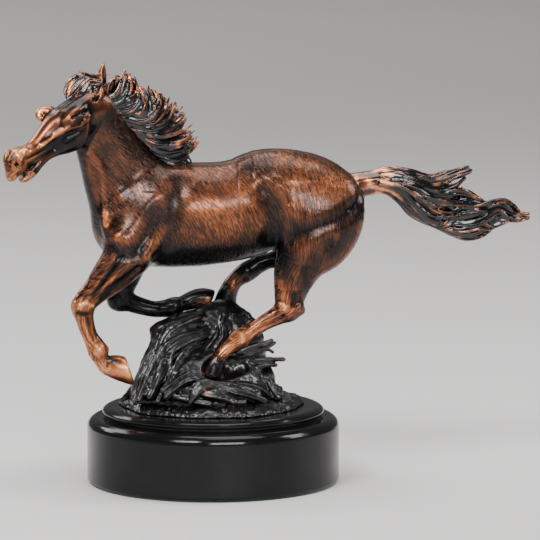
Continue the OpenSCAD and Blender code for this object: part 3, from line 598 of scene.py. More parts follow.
# Lines on both flanks of each leg, as (x, z): outline, width, height, how far out from the leg's middle
NEAR_LEG_LINES = [
    # tendon grooves down forearm and cannon of the near fore leg
    ([(-47, 118), (-55, 108), (-62, 99), (-65, 94)], 1.1, -0.9, 7.2),
    ([(-40, 111), (-49, 103), (-57, 96.5), (-61, 93)], 1.1, -0.9, 6.6),
    ([(-44, 113), (-52, 105.4), (-60, 98)], 1.0, 0.7, 7.4),
    ([(-51, 114), (-58, 105), (-64, 98)], 1.0, 0.6, 6.6),
    ([(-64.2, 85), (-62.8, 79), (-60.4, 74)], 1.0, -0.8, 4),
    ([(-67, 86), (-65.6, 80), (-63.2, 75)], 0.8, 0.4, 3.6),
    # its knee
    ([(-68.6, 91.6), (-65, 92.6), (-62, 91.4)], 1.2, 0.7, 5),
    ([(-69, 88), (-65.4, 87.6), (-62.4, 87.8)], 1.0, -0.6, 4.8),
    # its pastern and heel
    ([(-51.4, 64.4), (-49.4, 64.6)], 1.8, 1.1, 2.4),
    ([(-55.4, 63.4), (-54.6, 61)], 1.1, -0.5, 4.4),
    ([(-59, 68.4), (-57.8, 70)], 1.8, 0.6, 4.2),
    ([(-52.6, 63.6), (-51.2, 63.4)], 1.6, 0.9, 2.4),
    # near hind: hock, cannon, fetlock
    ([(42.6, 100), (42.8, 93), (41.8, 88)], 1.5, 0.8, 3.4),
    ([(38, 95), (38.8, 91)], 2.0, -1.0, 5),
    ([(33.4, 88.6), (31.4, 90)], 1.6, 0.8, 4.6),
    ([(33, 84.4), (26, 81), (19, 77)], 1.0, -0.8, 4),
    ([(12.4, 72), (12.2, 75.6)], 1.7, 0.7, 4.2)]
FAR_LEG_LINES = [
    ([(-40, 89.6), (-34, 87.4), (-27, 86)], 0.9, -0.7, 4),
    ([(-47, 92.6), (-45.6, 88.4)], 1.4, 0.6, 4.8),
    ([(-18.6, 84.4), (-17.4, 88.6)], 1.6, 0.6, 4.2),
    ([(38, 108.8), (31, 108.8), (25, 107)], 1.0, -0.7, 4),
    ([(18.6, 102), (17.6, 105.4)], 1.7, 0.7, 4.2)]


def sculpt_leg_detail(clay):
    for y_middle, lines in ((-TRACK, NEAR_LEG_LINES), (TRACK, FAR_LEG_LINES)):
        for outline, width, height, out in lines:
            for s in (-1, 1):
                clay.press([(x, y_middle + s * out, z) for x, z in outline], width, height)
    near = -TRACK
    # front of the knee, the two ergots, point of the hock
    clay.press([(-70.6, near - 2, 92.5), (-71, near, 91), (-70.6, near + 2, 92.5)], 1.6, 0.8)
    clay.press([(-54.6, near, 68.6), (-54.4, near, 69.8)], 1.3, 1.1)
    clay.press([(15.4, near, 70), (14.4, near, 69.4)], 1.2, 0.9)
    clay.press([(43.4, near - 1, 86.4), (43.6, near + 1, 86.4)], 1.8, 1.0)
    # coronet bands
    for x, y, z in ((-54.2, near, 60.5), (0.2, near, 61.8), (10.9, TRACK, 96.8), (-11, TRACK, 89)):
        clay.press([(x, y - 5, z), (x, y + 5, z)], 1.1, 0.35)


def casting_of(p):
    """Which casting each point belongs to: the joint faces are those of the CAD castings"""
    x, y, z = p[:, 0], p[:, 1], p[:, 2]
    label = np.zeros(len(p), int)
    neck = (-0.52 * (x + 39) + 0.85 * (z - 146) > 0) & (x < -10)
    head = neck & (-0.86 * (x + 60) - 0.38 * (y + 7) + 0.34 * (z - 183) > 0)
    label[neck] = 1
    label[head] = 2
    label[(y < -2) & (x < -20) & (x + z < 68.5)] = 3
    label[(y > 3) & (x < 5) & (-0.15 * (x + 41.5) - (z - 111) > 0)] = 4
    label[(y < -2) & (x > -12) & ((z < 108.6) | (x > 31)) & (-0.2 * (x - 43) - (z - 110) > 0)] = 5
    label[(y > 5.5) & (x > 4) & ((z < 112.6) | (x > 30)) & (z < 120) & (0.2 * (x - 43) - (z - 117) > 0)] = 6
    return label


def build_horse():
    clay = Clay((-110, -42, 46), (82, 28, 215), BODY_STEP)
    clay.add(TORSO, blend=3, spacing=3)
    clay.add(NECK, blend=5, spacing=2.5)
    clay.add(THROAT, blend=3, spacing=2.5)
    sculpt_legs(clay)
    sculpt_head(clay)
    sculpt_ears(clay)
    sculpt_muscles(clay)
    sculpt_leg_detail(clay)
    points, quads = largest_part(*clay.skin())
    near_cavity = clay.sample(clay.blurred(DETAIL), points)
    wide_cavity = clay.sample(clay.blurred(3.6), points)
    return points, quads, near_cavity, wide_cavity


# ---------------------------------------------------------------- mane, forelock and tail
def along(line, count):
    """The points of a curve through line, evenly spread"""
    rows = curve([(*p, 0, 0) for p in line], 0.8)[:, :3]
    reached = np.concatenate([[0], np.cumsum(np.linalg.norm(np.diff(rows, axis=0), axis=1))])
    at = np.linspace(0, reached[-1], count)
    return np.stack([np.interp(at, reached, rows[:, n]) for n in range(3)], 1)


def strand(clay, points, thick, blend=0.5, flutes=None, root=0.8, tip=0.12, flat=1.0):
    """One lock of hair along points, thickest two fifths of the way along"""
    share = np.linspace(0, 1, len(points))
    fat = np.interp(share, [0, 0.4, 0.75, 1], [root, 1, 0.72, tip]) * thick
    clay.add(np.column_stack([points, np.maximum(fat * flat, 0.3), np.maximum(fat, 0.3)]),
             blend=blend, spacing=1.6, side=(0.05, 1, 0.05), flutes=flutes)


def wavy(points, size, seed):
    """The points moved a little, less at the root"""
    wander = np.stack([noise3(points + 37.0 * n, 9.0, seed + n) for n in range(3)], 1)
    return points + size * wander * np.linspace(0.2, 1, len(points))[:, None]


# Locks of the mane from the poll to the withers, root first, as (x, z)
MANE_LOCKS = [
    [(-55, 193), (-49, 195), (-46, 200), (-44.5, 206.5)],
    [(-55.5, 191), (-52, 190), (-47, 192), (-43, 197), (-42.5, 205)],
    [(-53, 189), (-48, 189.5), (-42.5, 191.5), (-38.5, 195), (-39.5, 202.5)],
    [(-51, 188), (-44.5, 186.8), (-40, 189.5), (-37.3, 193.5), (-39, 201.5)],
    [(-43, 185.5), (-39, 187.5), (-36, 189.4), (-35.5, 193), (-37, 197.5)],
    [(-42, 185), (-36, 184.4), (-34, 188.5), (-34.3, 193.5), (-35, 198)],
    [(-41, 184), (-34, 184), (-31, 188.5), (-31.2, 193.5), (-32.5, 198)],
    [(-42.5, 184.6), (-36, 183), (-30.5, 186), (-27.5, 189.6), (-28, 195.6)],
    [(-43.5, 183), (-36.5, 181), (-31, 181.5), (-26.5, 185.5), (-24.4, 189), (-24.6, 193)],
    [(-40, 180.5), (-35, 179.6), (-28, 181), (-22.5, 184), (-20.5, 187.4), (-19, 191)],
    [(-41, 179), (-34.5, 177.2), (-27.5, 178), (-21, 182), (-17.5, 184.4), (-14, 185.4)],
    [(-39, 177), (-32, 175), (-26, 175.4), (-19, 176.6), (-15.5, 179.5), (-13, 182.6)],
    [(-38, 175.5), (-32.5, 172.4), (-26, 170.6), (-19, 171.6), (-14, 174), (-10, 177)],
    [(-34, 171.5), (-32, 169.6), (-26, 168), (-19, 168.6), (-12.5, 170), (-8.4, 173.4)],
    [(-31.5, 168.5), (-29.5, 167), (-24.5, 165), (-17.5, 165.4), (-12, 167.2), (-8.6, 171)],
    [(-28, 165), (-24, 163.4), (-19, 162.6), (-14, 164.4), (-11.5, 167.4)],
    [(-24.5, 162.4), (-21.5, 161), (-17.5, 161.2), (-14, 163.4)],
    [(-22, 160), (-19.5, 158.8), (-16.5, 159.2), (-14.4, 160.8)]]
CREST_X = [-59, -52, -45, -38, -31, -24, -16]
CREST_Y = [-8, -7, -6, -5, -4, -2, 0]
CREST_Z = [190, 187.5, 182, 174.5, 167, 161, 158]


def build_mane():
    clay = Clay((-64, -20, 152), (-3, 12, 214), HAIR_STEP, far=1.6)
    r = np.random.default_rng(11)
    clay.add([(x + 1.5, y, z + 1.5, 4.6, 4.2) for x, y, z in zip(CREST_X, CREST_Y, CREST_Z)],
             blend=1, spacing=2)
    # layer: how far to the side at the root and at the tip, and how thick
    for layer, (root, tip, thick) in enumerate([(3.6, 4.6, 1.6), (0.2, 0.4, 2.7), (-3.4, -3.4, 1.75)]):
        guides = []
        for lock in MANE_LOCKS:
            line = along([(x, 0, z) for x, z in lock], 7)
            share = np.linspace(0, 1, 7)
            line[:, 1] = (np.interp(line[:, 0], CREST_X, CREST_Y) + root + (tip - root) * share
                          + np.sign(root) * 1.6 * np.sin(share * math.pi) * abs(root) / 3.6)
            guides.append(line)
        for i, line in enumerate(guides):
            own = wavy(line, 1.0 if layer == 2 else 2.0, 40 + 5 * i + layer)
            strand(clay, own, thick * r.uniform(0.95, 1.2), blend=0.5, flat=1.05,
                   flutes=(int(r.integers(5, 8)), 0.34, r.uniform(-3, 3)))
            if i + 1 == len(guides):
                break
            shares, fine = ((0.5,), 1.9) if layer == 1 else ((0.22, 0.45, 0.68, 0.86), 1.1)
            for share in shares:
                between = line + (guides[i + 1] - line) * (share + r.uniform(-0.1, 0.1))
                between = between + np.array([0, r.uniform(-0.9, 0.9), 0])
                cut = r.uniform(0.75, 1.0)
                between = wavy(along(between, 9)[:max(4, int(round(9 * cut)))], 2.2, 300 + 20 * i + layer)
                strand(clay, between, fine * r.uniform(0.8, 1.3), blend=0.3,
                       flutes=(4, 0.2, r.uniform(-3, 3)), tip=0.3)
    # the curl beside the ear
    for y, lean, high in ((-10.4, 0, 203.4), (-9.4, 1.6, 204.6), (-8.2, 3.4, 203.2)):
        curl = [(-53, y + 2, 192.5), (-53.4, y, 197), (-52.4, y, 201), (-50.4, y, high),
                (-48.4, y, high - 0.6)]
        strand(clay, along([(x + lean, y, z) for x, y, z in curl], 9), 1.1, blend=0.25,
               flutes=(3, 0.18, 2), tip=0.3)
    return clay


# Locks of the forelock, root first, as (x, y, z)
FORELOCK_LOCKS = [
    [(-54, -2, 205), (-57.5, -3, 204.4), (-61.5, -4, 204.4), (-64.5, -4.4, 206)],
    [(-60, -3, 202.5), (-63.5, -4, 203.8), (-65.6, -4.4, 205.4), (-66.6, -4.8, 206.6)],
    [(-60, -4, 203), (-65.5, -5, 204.6), (-69.5, -5.4, 203.8), (-73, -6, 200), (-74.2, -7, 196.4),
     (-73.4, -8, 193.6)],
    [(-59, -5, 202), (-65, -6.4, 203.6), (-69, -7, 201.6), (-72, -8, 198), (-73, -9, 195)],
    [(-58, -6, 201.5), (-62.5, -7.6, 203.2), (-66.5, -8.4, 201.5), (-69.4, -9, 198.6), (-72, -9.6, 195)],
    [(-57.5, -6.6, 202), (-62.5, -8.8, 202.4), (-66, -9.8, 199.6), (-70, -10.2, 194.6)],
    [(-57, -7.4, 201), (-61.4, -9.8, 201.6), (-64.5, -10.8, 198.6), (-67, -11.2, 196), (-70, -10.8, 192.8)],
    [(-57, -8.4, 199.4), (-61, -11.2, 199.6), (-63.4, -12, 196.6), (-66, -12, 194), (-69, -11.6, 191.6)],
    [(-57.6, -9.6, 197.4), (-60, -12.4, 195.8), (-62.4, -12.8, 193.4), (-65, -12.4, 191)],
    [(-58, -2, 201), (-64, -2, 201), (-69, -3, 198.6), (-72, -5, 194.6)],
    [(-58, 0, 200), (-63, 0.4, 199.4), (-67, 0, 197), (-70, -1.6, 193.6)]]


LOOSE_LOCK = 8                   # no fine lock is laid between this one and the next


def build_forelock():
    clay = Clay((-80, -20, 182), (-50, 8, 213), HAIR_STEP, far=1.6)
    r = np.random.default_rng(5)
    clay.add([(-57, -6, 196, 3.6, 5), (-62, -7, 197.4, 3.2, 4.6), (-67, -8, 196, 2.4, 3.6),
              (-70.5, -9, 193.2, 1.2, 2.2)], blend=1, spacing=1.5)
    for i, lock in enumerate(FORELOCK_LOCKS):
        line = along(lock, 7)
        strand(clay, line, 1.35 * r.uniform(0.9, 1.15), blend=0.15, flutes=(4, 0.3, r.uniform(-2, 2)),
               tip=0.3)
        if i + 1 < len(FORELOCK_LOCKS) and i != LOOSE_LOCK:
            between = (line + along(FORELOCK_LOCKS[i + 1], 7)) / 2 + np.array([0, -0.3, 0.2])
            strand(clay, wavy(between, 1.4, 70 + i), 0.8, blend=0.15, flutes=(3, 0.16, 1), tip=0.3)
    return clay


TAIL_BONE = [
    (64, 0, 146, 7, 6.4), (71, 0, 147.2, 6.9, 6.2), (77, 0, 148.3, 6.4, 5.4), (84, 0, 149.2, 6.2, 5.2),
    (91, 0, 148.8, 6, 5.2), (98, 0, 145.6, 6.4, 5.4), (105, 0, 141.4, 7.6, 5.6), (113, 0, 137.4, 7.6, 5),
    (122, 0, 132, 7.6, 4.4), (131, 0, 129.2, 6.2, 3.2), (139, 0, 130, 4.4, 2.4), (147, 0, 131.6, 1.6, 1)]
# Locks of the tail, root first, as (x, z), with how far they stand to the side
TAIL_LOCKS = [
    (1.0, [(80, 154), (86.5, 155.6), (93.5, 155.2), (100.5, 153.6), (108, 151.4), (113, 151), (117, 152.2),
           (123, 154.4), (129, 156.2)]),
    (3.4, [(84, 153.6), (91.5, 154), (100.5, 152), (107.5, 149.5), (113, 149), (120.5, 151), (126, 153.4),
           (131, 155)]),
    (4.6, [(86, 152.6), (92, 152.4), (98.5, 151), (105, 148.5), (111, 145.6), (118.5, 145.8), (123, 147.4),
           (127, 151)]),
    (5.2, [(90, 151), (97, 149.6), (104, 146.8), (113, 143.8), (122, 144), (128, 143), (133.5, 140.4),
           (138.5, 138.6)]),
    (6.2, [(84, 150.6), (91.5, 149.2), (98, 147.8), (103.5, 145), (108.5, 141.8), (114, 140.4), (121, 140.8),
           (127, 140.4), (130, 138.6)]),
    (6.6, [(83.5, 149.6), (89, 148), (96.5, 144.5), (101.5, 139.5), (105.6, 135.4), (111, 132.8),
           (117, 133.8), (124.5, 136.6)]),
    (5.6, [(82.5, 147.6), (89, 146), (94.5, 143), (100, 138.5), (103.5, 134.5), (107.5, 130.8), (113, 128.4),
           (119, 129.2), (126, 133.4)]),
    (2.4, [(80, 144.6), (86, 144.6), (92.5, 141.5), (96.5, 137), (102, 132.6), (108, 129.6), (115.5, 125.8),
           (124, 121.8), (131, 120.4), (137.5, 122), (143, 126)]),
    (6.4, [(104, 142), (112.5, 139.6), (118.5, 138.6), (124, 138.6), (129.5, 137), (135, 133.6)]),
    (6.4, [(114, 126.6), (117, 128), (120, 130), (123, 132), (126.5, 134)]),
    (3.6, [(116, 131.6), (124, 133), (132.5, 133.4), (137.5, 134), (143, 136.4), (146.5, 136), (150.5, 133.6),
           (155, 132), (160.4, 131.4)]),
    (3.0, [(112, 139.6), (120, 139), (128.5, 139), (135, 135.8), (140.5, 137), (145, 139), (148.5, 138.6),
           (153, 136.6), (155.6, 133.6)]),
    (4.4, [(112, 128), (119.5, 127), (130, 127.2), (137.5, 130), (143, 133.4), (147, 132.6), (149.4, 130.2),
           (155, 128.8), (160, 130)]),
    (4.0, [(108, 128.6), (114.5, 126.4), (123, 123.8), (130, 123), (135.5, 124), (141.4, 127)]),
    (1.6, [(104, 131), (112, 127.6), (121, 124), (129, 122.4), (136, 123.8), (142, 126.8)])]
# Locks with fine locks laid between them
TAIL_PAIRS = [(0, 1), (1, 2), (2, 3), (3, 4), (4, 5), (5, 6), (6, 7), (4, 8), (10, 11), (10, 12), (12, 13),
              (13, 14), (8, 11), (5, 12)]


def build_tail():
    clay = Clay((60, -16, 112), (166, 16, 164), HAIR_STEP * 1.1, far=1.6)
    r = np.random.default_rng(23)
    clay.add(TAIL_BONE[:6], blend=1, spacing=1.5, flutes=(9, 0.1, 0.6))
    clay.add(TAIL_BONE[4:], blend=1, spacing=1.5, flutes=(15, 0.3, 1.5))
    for s in (-1, 1):
        guides = []
        for out, line in TAIL_LOCKS:
            points = along([(x, 0, z) for x, z in line], 10)
            share = np.linspace(0, 1, 10)
            bone_wide = np.interp(points[:, 0], [p[0] for p in TAIL_BONE], [p[4] for p in TAIL_BONE])
            limit = np.minimum(out, bone_wide + 0.8)
            points[:, 1] = s * (limit * np.interp(share, [0, 0.25, 0.7, 1], [0.8, 1, 0.85, 0.35]))
            guides.append(points if s < 0 else wavy(points, 1.6, 500))
        for i, points in enumerate(guides):
            strand(clay, wavy(points, 0.8, 90 + i), 1.7 * r.uniform(0.95, 1.2), blend=0.4, root=0.45,
                   flat=1.1, flutes=(int(r.integers(4, 7)), 0.32, r.uniform(-3, 3)), tip=0.3)
        for i, j in TAIL_PAIRS:
            for share in (0.3, 0.6, 0.82):
                between = guides[i] + (guides[j] - guides[i]) * (share + r.uniform(-0.1, 0.1))
                between = between + np.array([0, s * r.uniform(-0.4, 0.9), 0])
                between = along(between, 10)[:int(r.integers(7, 11))]
                strand(clay, wavy(between, 1.6, 200 + 10 * i + j), 1.15 * r.uniform(0.8, 1.3), blend=0.3,
                       root=0.5, flutes=(4, 0.2, r.uniform(-3, 3)), tip=0.3)
    return clay


# ---------------------------------------------------------------- stump and ground
STUMP_FOOT = 42.5                # top of the ground casting
STUMP = [
    (-5, -1, STUMP_FOOT - 1.5, 37.6, 28), (-4.6, 0, 48, 34, 22.4), (-3.4, 2, 53, 32.2, 16.6),
    (-2.4, 5, 59, 30.4, 12.4), (-2, 5, 66, 29, 11.2), (-5, 5, 71.5, 25.2, 10.4), (-8.6, 6, 76.4, 23.2, 8.6),
    (-10, 6.6, 81, 22, 4.4)]
# The knob that the far hind hoof stands on
STUMP_KNOB = [(8.5, 8, 69, 6, 6), (8, 11, 77, 6.4, 5.4), (7.6, 12, 82, 6, 5), (7, 12, 87, 5.6, 4.6)]
# Roots on the near side, from the top down, as (x, y, z)
NEAR_ROOTS = [
    [(-2, 1, 86), (-10.5, -3, 85), (-22, -6, 79), (-29.5, -8, 71.5), (-33, -11, 63), (-36, -14, 55)],
    [(-1, -3, 81.5), (-11, -6, 78), (-21.5, -8, 75), (-28.5, -10, 69.5), (-34, -14, 62.5), (-39, -18, 56),
     (-43, -22, 46)],
    [(-4, 0, 85), (-12, -3.6, 82), (-20, -6.4, 78), (-27, -8, 72), (-31.5, -11, 65), (-37, -15, 58)],
    [(0.5, -4, 76.5), (-9, -7.4, 75.4), (-19, -9.6, 70.6), (-26, -13, 64.5), (-33, -20, 56), (-38, -24, 47)],
    [(0, -4, 79), (-10, -6.6, 76.8), (-20, -8.6, 73), (-27, -11, 67), (-33, -16, 59.5), (-40, -20, 50)],
    [(-2, -4, 73), (-10, -7.6, 71.5), (-17.5, -11, 66), (-23.5, -17, 59), (-30, -23, 51.5), (-34, -27, 45)],
    [(-4.5, -6, 70.5), (-12.5, -8, 67), (-17, -13, 61.5), (-20, -18, 56), (-26, -24, 49.6)],
    [(-3, -6, 67), (-9, -9, 64.5), (-12.5, -14, 60), (-17, -19.6, 54.6), (-24, -25, 47.6)],
    [(1, 0, 85), (2, -5, 78), (-2, -7.6, 72), (-6, -10, 66), (-8.5, -14, 59), (-10, -19, 54)],
    [(3, -2, 84), (4.6, -6, 77), (1, -8, 70), (-3, -11, 63.6), (-5.6, -15.6, 57)],
    [(8, 0, 83), (10, -4, 76), (8.6, -7.4, 69), (10, -9, 64)],
    [(12, 0, 82), (15, -4, 75.6), (15.4, -7, 69), (17, -9, 63)],
    [(-31, -4, 78), (-33, -5, 70), (-35, -7, 62), (-39, -9, 54), (-44, -12, 45)],
    [(-26, -3, 81), (-31, -6, 74), (-34.4, -8.6, 66), (-38, -12, 57.6), (-42.6, -17, 49), (-45, -20, 44)],
    [(-6.5, -20, 57), (-9, -18.6, 59.6), (-15.5, -20, 58), (-24, -24, 54.4), (-29.5, -27, 50)],
    [(-6.5, -22.4, 55.6), (-14.5, -24, 55.4), (-22, -26.4, 51.6), (-29, -28.6, 47.6)],
    [(20, -6, 58), (24, -10, 54), (27, -14, 49), (31, -17, 44)],
    [(26, -3, 62), (28, -6, 56), (29, -9, 50), (33, -11, 44)],
    [(14, -12, 55), (17, -17, 51), (19, -22, 46.6)],
    [(-6, -25, 54.6), (3, -26, 53), (12, -24.6, 50), (20, -21, 46)],
    [(-14, -27.6, 51), (-6, -29.4, 48.4), (3, -29.6, 46), (12, -28.6, 43.6)],
    [(-2, -27, 52), (6, -27.6, 49.6), (16, -26, 46), (22, -24, 43.6)],
    [(-24, -27.6, 47.6), (-14, -30, 46), (-6, -31.6, 43.6)],
    [(8, -24, 53), (15, -21.6, 51.4), (22, -17.6, 48.6), (28, -15, 44)]]
BLADES = [
    [(-24.5, -15.4, 58), (-23.4, -15.6, 63), (-21, -13.6, 68)],
    [(-27, -15.4, 58), (-26, -15, 62.4), (-24.4, -13, 66)],
    [(-21.6, -16.6, 57.6), (-19.6, -16, 62), (-16, -13.6, 67)],
    [(-17.4, -17.4, 57), (-15.4, -15.6, 61), (-12, -13, 65)],
    [(-29.6, -17, 56), (-29, -17, 60), (-27, -15, 64)],
    [(12, -8, 66), (20, -9.6, 70), (28.6, -9.6, 72.2)], [(14, -9, 63), (22, -10, 67.4), (29.6, -9.6, 70.6)],
    [(12, -9, 60), (22, -8.6, 61.6), (33.4, -8, 62.8)], [(16, -8, 56), (24, -10, 59), (30, -10.4, 58.6)],
    [(14, -10, 52), (22, -12, 54.6), (28.6, -12, 53.6)], [(20, 2, 64), (26, 3, 66), (31, 4, 64)],
    [(20, 6, 58), (26, 8, 59.4), (31, 9, 57)], [(8, 2, 78), (9.6, 0, 81.4), (10.4, -1.4, 84)],
    [(13, 3, 76), (16, 2, 79), (17.6, 1, 81)], [(4, 0, 78), (4.6, -2, 81), (5.4, -3.4, 83)]]
LEAF = [(-15.4, -31.6, 44.6, 1), (-12.6, -31.6, 49.6, 2.4), (-8.4, -30, 53.4, 3), (-4, -28.6, 52, 2.6),
        (-3, -28, 48, 1.8), (-4.6, -28.4, 45, 0.8)]
FAR_ROOTS = 26
CAVE = [(-5, -24, 59.4, 4.4, 4), (0, -19.6, 59.8, 6.6, 8), (5.4, -17.4, 60.4, 7, 8.4),
        (12, -16, 61.6, 5.6, 6)]


def drawn_in(line):
    """The roots, kept a little lower and closer to the stump's axis than they were laid out"""
    x, y, z = np.array(line, float).T
    return np.stack([x + 3.2 * np.clip((-x - 20) / 14, 0, 1), y, STUMP_FOOT + 0.93 * (z - STUMP_FOOT)], 1)


def build_stump():
    clay = Clay((-54, -42, 40.4), (48, 42, 92), ROCK_STEP, far=2.6)
    r = np.random.default_rng(31)
    clay.add(STUMP, blend=1, spacing=2)
    clay.add(STUMP_KNOB, blend=1.5, spacing=1.5)
    for i, root in enumerate(NEAR_ROOTS):
        line = along(drawn_in(root), 8)
        strand(clay, wavy(line, 1.2, 600 + i), r.uniform(1.8, 2.5), blend=0.7,
               flutes=(5, 0.3, r.uniform(-3, 3)), root=0.55, tip=0.7)
        if i + 1 < len(NEAR_ROOTS):
            nearby = along(drawn_in(NEAR_ROOTS[i + 1]), 8)
            if np.abs(nearby - line).mean() < 5:
                strand(clay, wavy((line + nearby) / 2, 1.6, 640 + i), r.uniform(1.1, 1.7), blend=0.5,
                       flutes=(4, 0.25, 1), root=0.6, tip=0.6)
    # roots all round the far side, leaning back the same way
    for i in range(FAR_ROOTS):
        turn = math.pi * (0.02 + 0.96 * i / (FAR_ROOTS - 1))
        c, s = math.cos(turn), math.sin(turn)
        line = [(-4 + 14 * c, 6 + 4 * s, 80.5 - 2 * abs(c)), (-5 + 20 * c, 6 + 7.4 * s, 74),
                (-5 + 25 * c, 6 + 9.6 * s, 66), (-6 + 28.5 * c, 5 + 12 * s, 58),
                (-5 + 33.5 * c, 2 + 20 * s, 49), (-4 + 39 * c, -1 + 29 * s, 42)]
        strand(clay, wavy(along(line, 8), 3.4, 700 + i), r.uniform(1.6, 2.6), blend=0.7,
               flutes=(5, 0.3, r.uniform(-3, 3)), root=0.5, tip=0.8)
    for i, blade in enumerate(BLADES):
        strand(clay, wavy(along(blade, 6), 1.6, 900 + i), r.uniform(1.4, 2.1), blend=0.8, flat=0.9,
               flutes=(4, 0.2, 1), root=1.7, tip=0.6)
    clay.add([(*p, 0.9) for p in LEAF], blend=0.6, spacing=1, flutes=(5, 0.2, 0))
    clay.cut(CAVE, blend=1.2, spacing=1.5)
    # room for the hooves and the shins that touch the stump, as in the CAD
    for n in (2, 3, 1):
        clay.cut(HOOVES[n], blend=0.3, flat=SOLES[n])
    for stations in (NEAR_HIND_SHIN, FAR_HIND_SHIN, FAR_FORE_SHIN):
        clay.cut(stations, blend=0.3)
    return clay


MOULDING_TOP = 38.3              # where the ground casting rests
GROUND_RIM = 0.16                # share of its radius over which the ground is rounded off


def ground_height(x, y):
    """Top of the ground: almost level, rising to the stump and rounded off at the rim"""
    turn = np.arctan2(y, x + 1)
    edge_x = 46 + 1.6 * np.sin(3 * turn + 0.7) + 0.9 * np.sin(7 * turn)
    edge_y = 43.6 + 1.2 * np.sin(4 * turn) + 0.8 * np.sin(9 * turn)
    share = np.sqrt(((x + 1) / edge_x) ** 2 + (y / edge_y) ** 2)
    inner = np.clip((1 - share) / GROUND_RIM, 0, 1)
    mound = 2.6 * np.exp(-(((x + 3) / 36) ** 2 + ((y + 2) / 27) ** 2) ** 2)
    return MOULDING_TOP + 4.2 * np.sqrt(inner * (2 - inner)) + mound - 0.6, share


def build_ground():
    high = (50, 50, 48)
    clay = Clay((-52, -50, 37.3), high, ROCK_STEP, far=2.6)
    _, (x, y, z) = clay.window(clay.low, high)
    top, share = ground_height(x, y)
    clay.d = np.maximum(np.maximum((z - top) * 0.8, MOULDING_TOP - z), (share - 1.0) * 40).astype(np.float32)
    return clay


def finished(clay, rough=()):
    """The skin of a sculpted form, its normals, and how hollow or proud it is at each vertex

    rough is a list of (grain in mm, depth in mm) of noise that the skin is pushed in and out by
    """
    points, quads = largest_part(*clay.skin())
    normals = vertex_normals(points, quads)
    for i, (grain, depth) in enumerate(rough):
        points = points + normals * (depth * noise3(points, grain, 80 + i))[:, None]
    if rough:
        normals = vertex_normals(points, quads)
    values = {"cavity": clay.sample(clay.blurred(min(DETAIL, clay.far)), points)}
    return points, quads, normals, values


# ---------------------------------------------------------------- patina and painted light
def smooth(v, low, high):
    t = np.clip((v - low) / (high - low), 0, 1)
    return t * t * (3 - 2 * t)


def near_line(p, line, width):
    """1 on a line given as (x, z), fading to 0 over about width mm; both sides of the horse"""
    best = np.full(len(p), 1e9)
    for (x0, z0), (x1, z1) in zip(line[:-1], line[1:]):
        dx, dz = x1 - x0, z1 - z0
        t = np.clip(((p[:, 0] - x0) * dx + (p[:, 2] - z0) * dz) / (dx * dx + dz * dz), 0, 1)
        best = np.minimum(best, (p[:, 0] - x0 - t * dx) ** 2 + (p[:, 2] - z0 - t * dz) ** 2)
    return np.exp(-best / width ** 2)


# scales the table below: patina, painted shade and painted highlights alike
PATINA_AND_PAINTED_LIGHT_STRENGTH = 0.55
# Where the bronze is painted darker or lighter: line, width, amount. Positive amounts are dark patina
# left in the creases with painted shade over the broad hollows; negative ones are patina rubbed off with
# painted highlights
PATINA_AND_PAINTED_LIGHT = [
    ([(-18, 152), (-22, 140), (-23, 128), (-28, 118)], 5.0, 0.34),
    ([(-43, 156), (-37, 151), (-31, 153)], 3.6, 0.22),
    ([(-32, 138), (-31, 134)], 6.0, 0.34),
    ([(-53, 120), (-46, 118.6), (-38, 121)], 3.2, 0.30),
    ([(-53, 185), (-45, 175), (-37, 166), (-26, 159)], 4.6, 0.34),
    ([(-57, 160), (-50, 170), (-47, 176)], 5.0, 0.10),
    ([(-46, 150), (-42, 143)], 4.0, 0.22),
    ([(25, 146), (27.5, 138), (28, 130), (25, 121)], 5.0, 0.34),
    ([(16, 160), (26, 160)], 5.0, 0.24),
    ([(38, 126), (44, 128.6), (56, 133), (66, 138)], 4.2, 0.36),
    ([(74, 147), (71, 136), (65, 124), (57, 116)], 4.0, 0.36),
    ([(50, 112), (46.6, 104), (45, 94), (42, 86)], 3.0, 0.34),
    ([(30, 126), (33, 116)], 4.0, 0.26),
    ([(-36, 116), (-30, 113)], 5.0, 0.30),
    # lighter on the triceps, the point of the shoulder and the jugular edge: patina rubbed off the raised
    # forms, with painted highlights
    ([(-35, 116), (-30, 122.6), (-25.6, 130)], 3.0, -0.42),
    ([(-55.6, 136), (-55, 127), (-50, 125.4)], 2.6, -0.34),
    ([(-64, 167), (-57, 158), (-55.4, 146)], 1.4, -0.08),
    # the next line is painted shade: the near hind hoof, deep in the cave of the stump
    ([(0, 60), (-2, 54)], 4.6, 1.70),
    ([(-52.6, 64.6), (-50.6, 63.4)], 1.8, 1.10),
    ([(-47.4, 116), (-56, 105), (-62, 97)], 1.0, 0.8),
    ([(-42, 110), (-50, 102.4), (-58, 95.6)], 1.4, 0.9),
    ([(-60.4, 88), (-60, 80), (-57.6, 74.6)], 1.6, 0.9),
    ([(-69, 88.4), (-65, 87.8)], 1.2, 0.7),
    ([(38, 82), (28, 78.4), (20, 74)], 1.4, 0.8),
    ([(43, 90), (44.6, 86)], 1.6, 0.5),
    # painted highlights on the shoulder, along the barrel, on the croup and by the hip
    ([(-27, 150), (-29, 143)], 4.0, -0.10),
    ([(-12, 140), (4, 138), (16, 140)], 12.0, -0.16),
    ([(36, 160), (50, 156), (60, 150)], 7.0, -0.16),
    ([(34, 146), (38, 138)], 5.0, -0.12),
    # painted highlights on the rubbed copper of the near knee, fetlocks, fore hoof and hind cannon
    ([(-67, 92), (-64, 90)], 4.0, -0.30),
    ([(-61, 73), (-58, 67)], 3.6, -0.26),
    ([(-54, 61), (-44, 59)], 5.0, -0.34),
    ([(37, 92), (30, 84), (18, 77.4)], 3.6, -0.16),
    ([(13, 74), (5, 68)], 3.4, -0.22)]
# Grooves of the face that stay dark, as (along, up)
DARK_FACE_LINES = [
    [(38, 0.4), (46, 0), (53, 0.8)], [(41, -3.6), (48, -3.4), (54, -2.4)], [(42, -6), (49, -5.8), (55, -5)],
    [(16.4, 0.8), (20, 2.4), (24.6, 2.6)]]


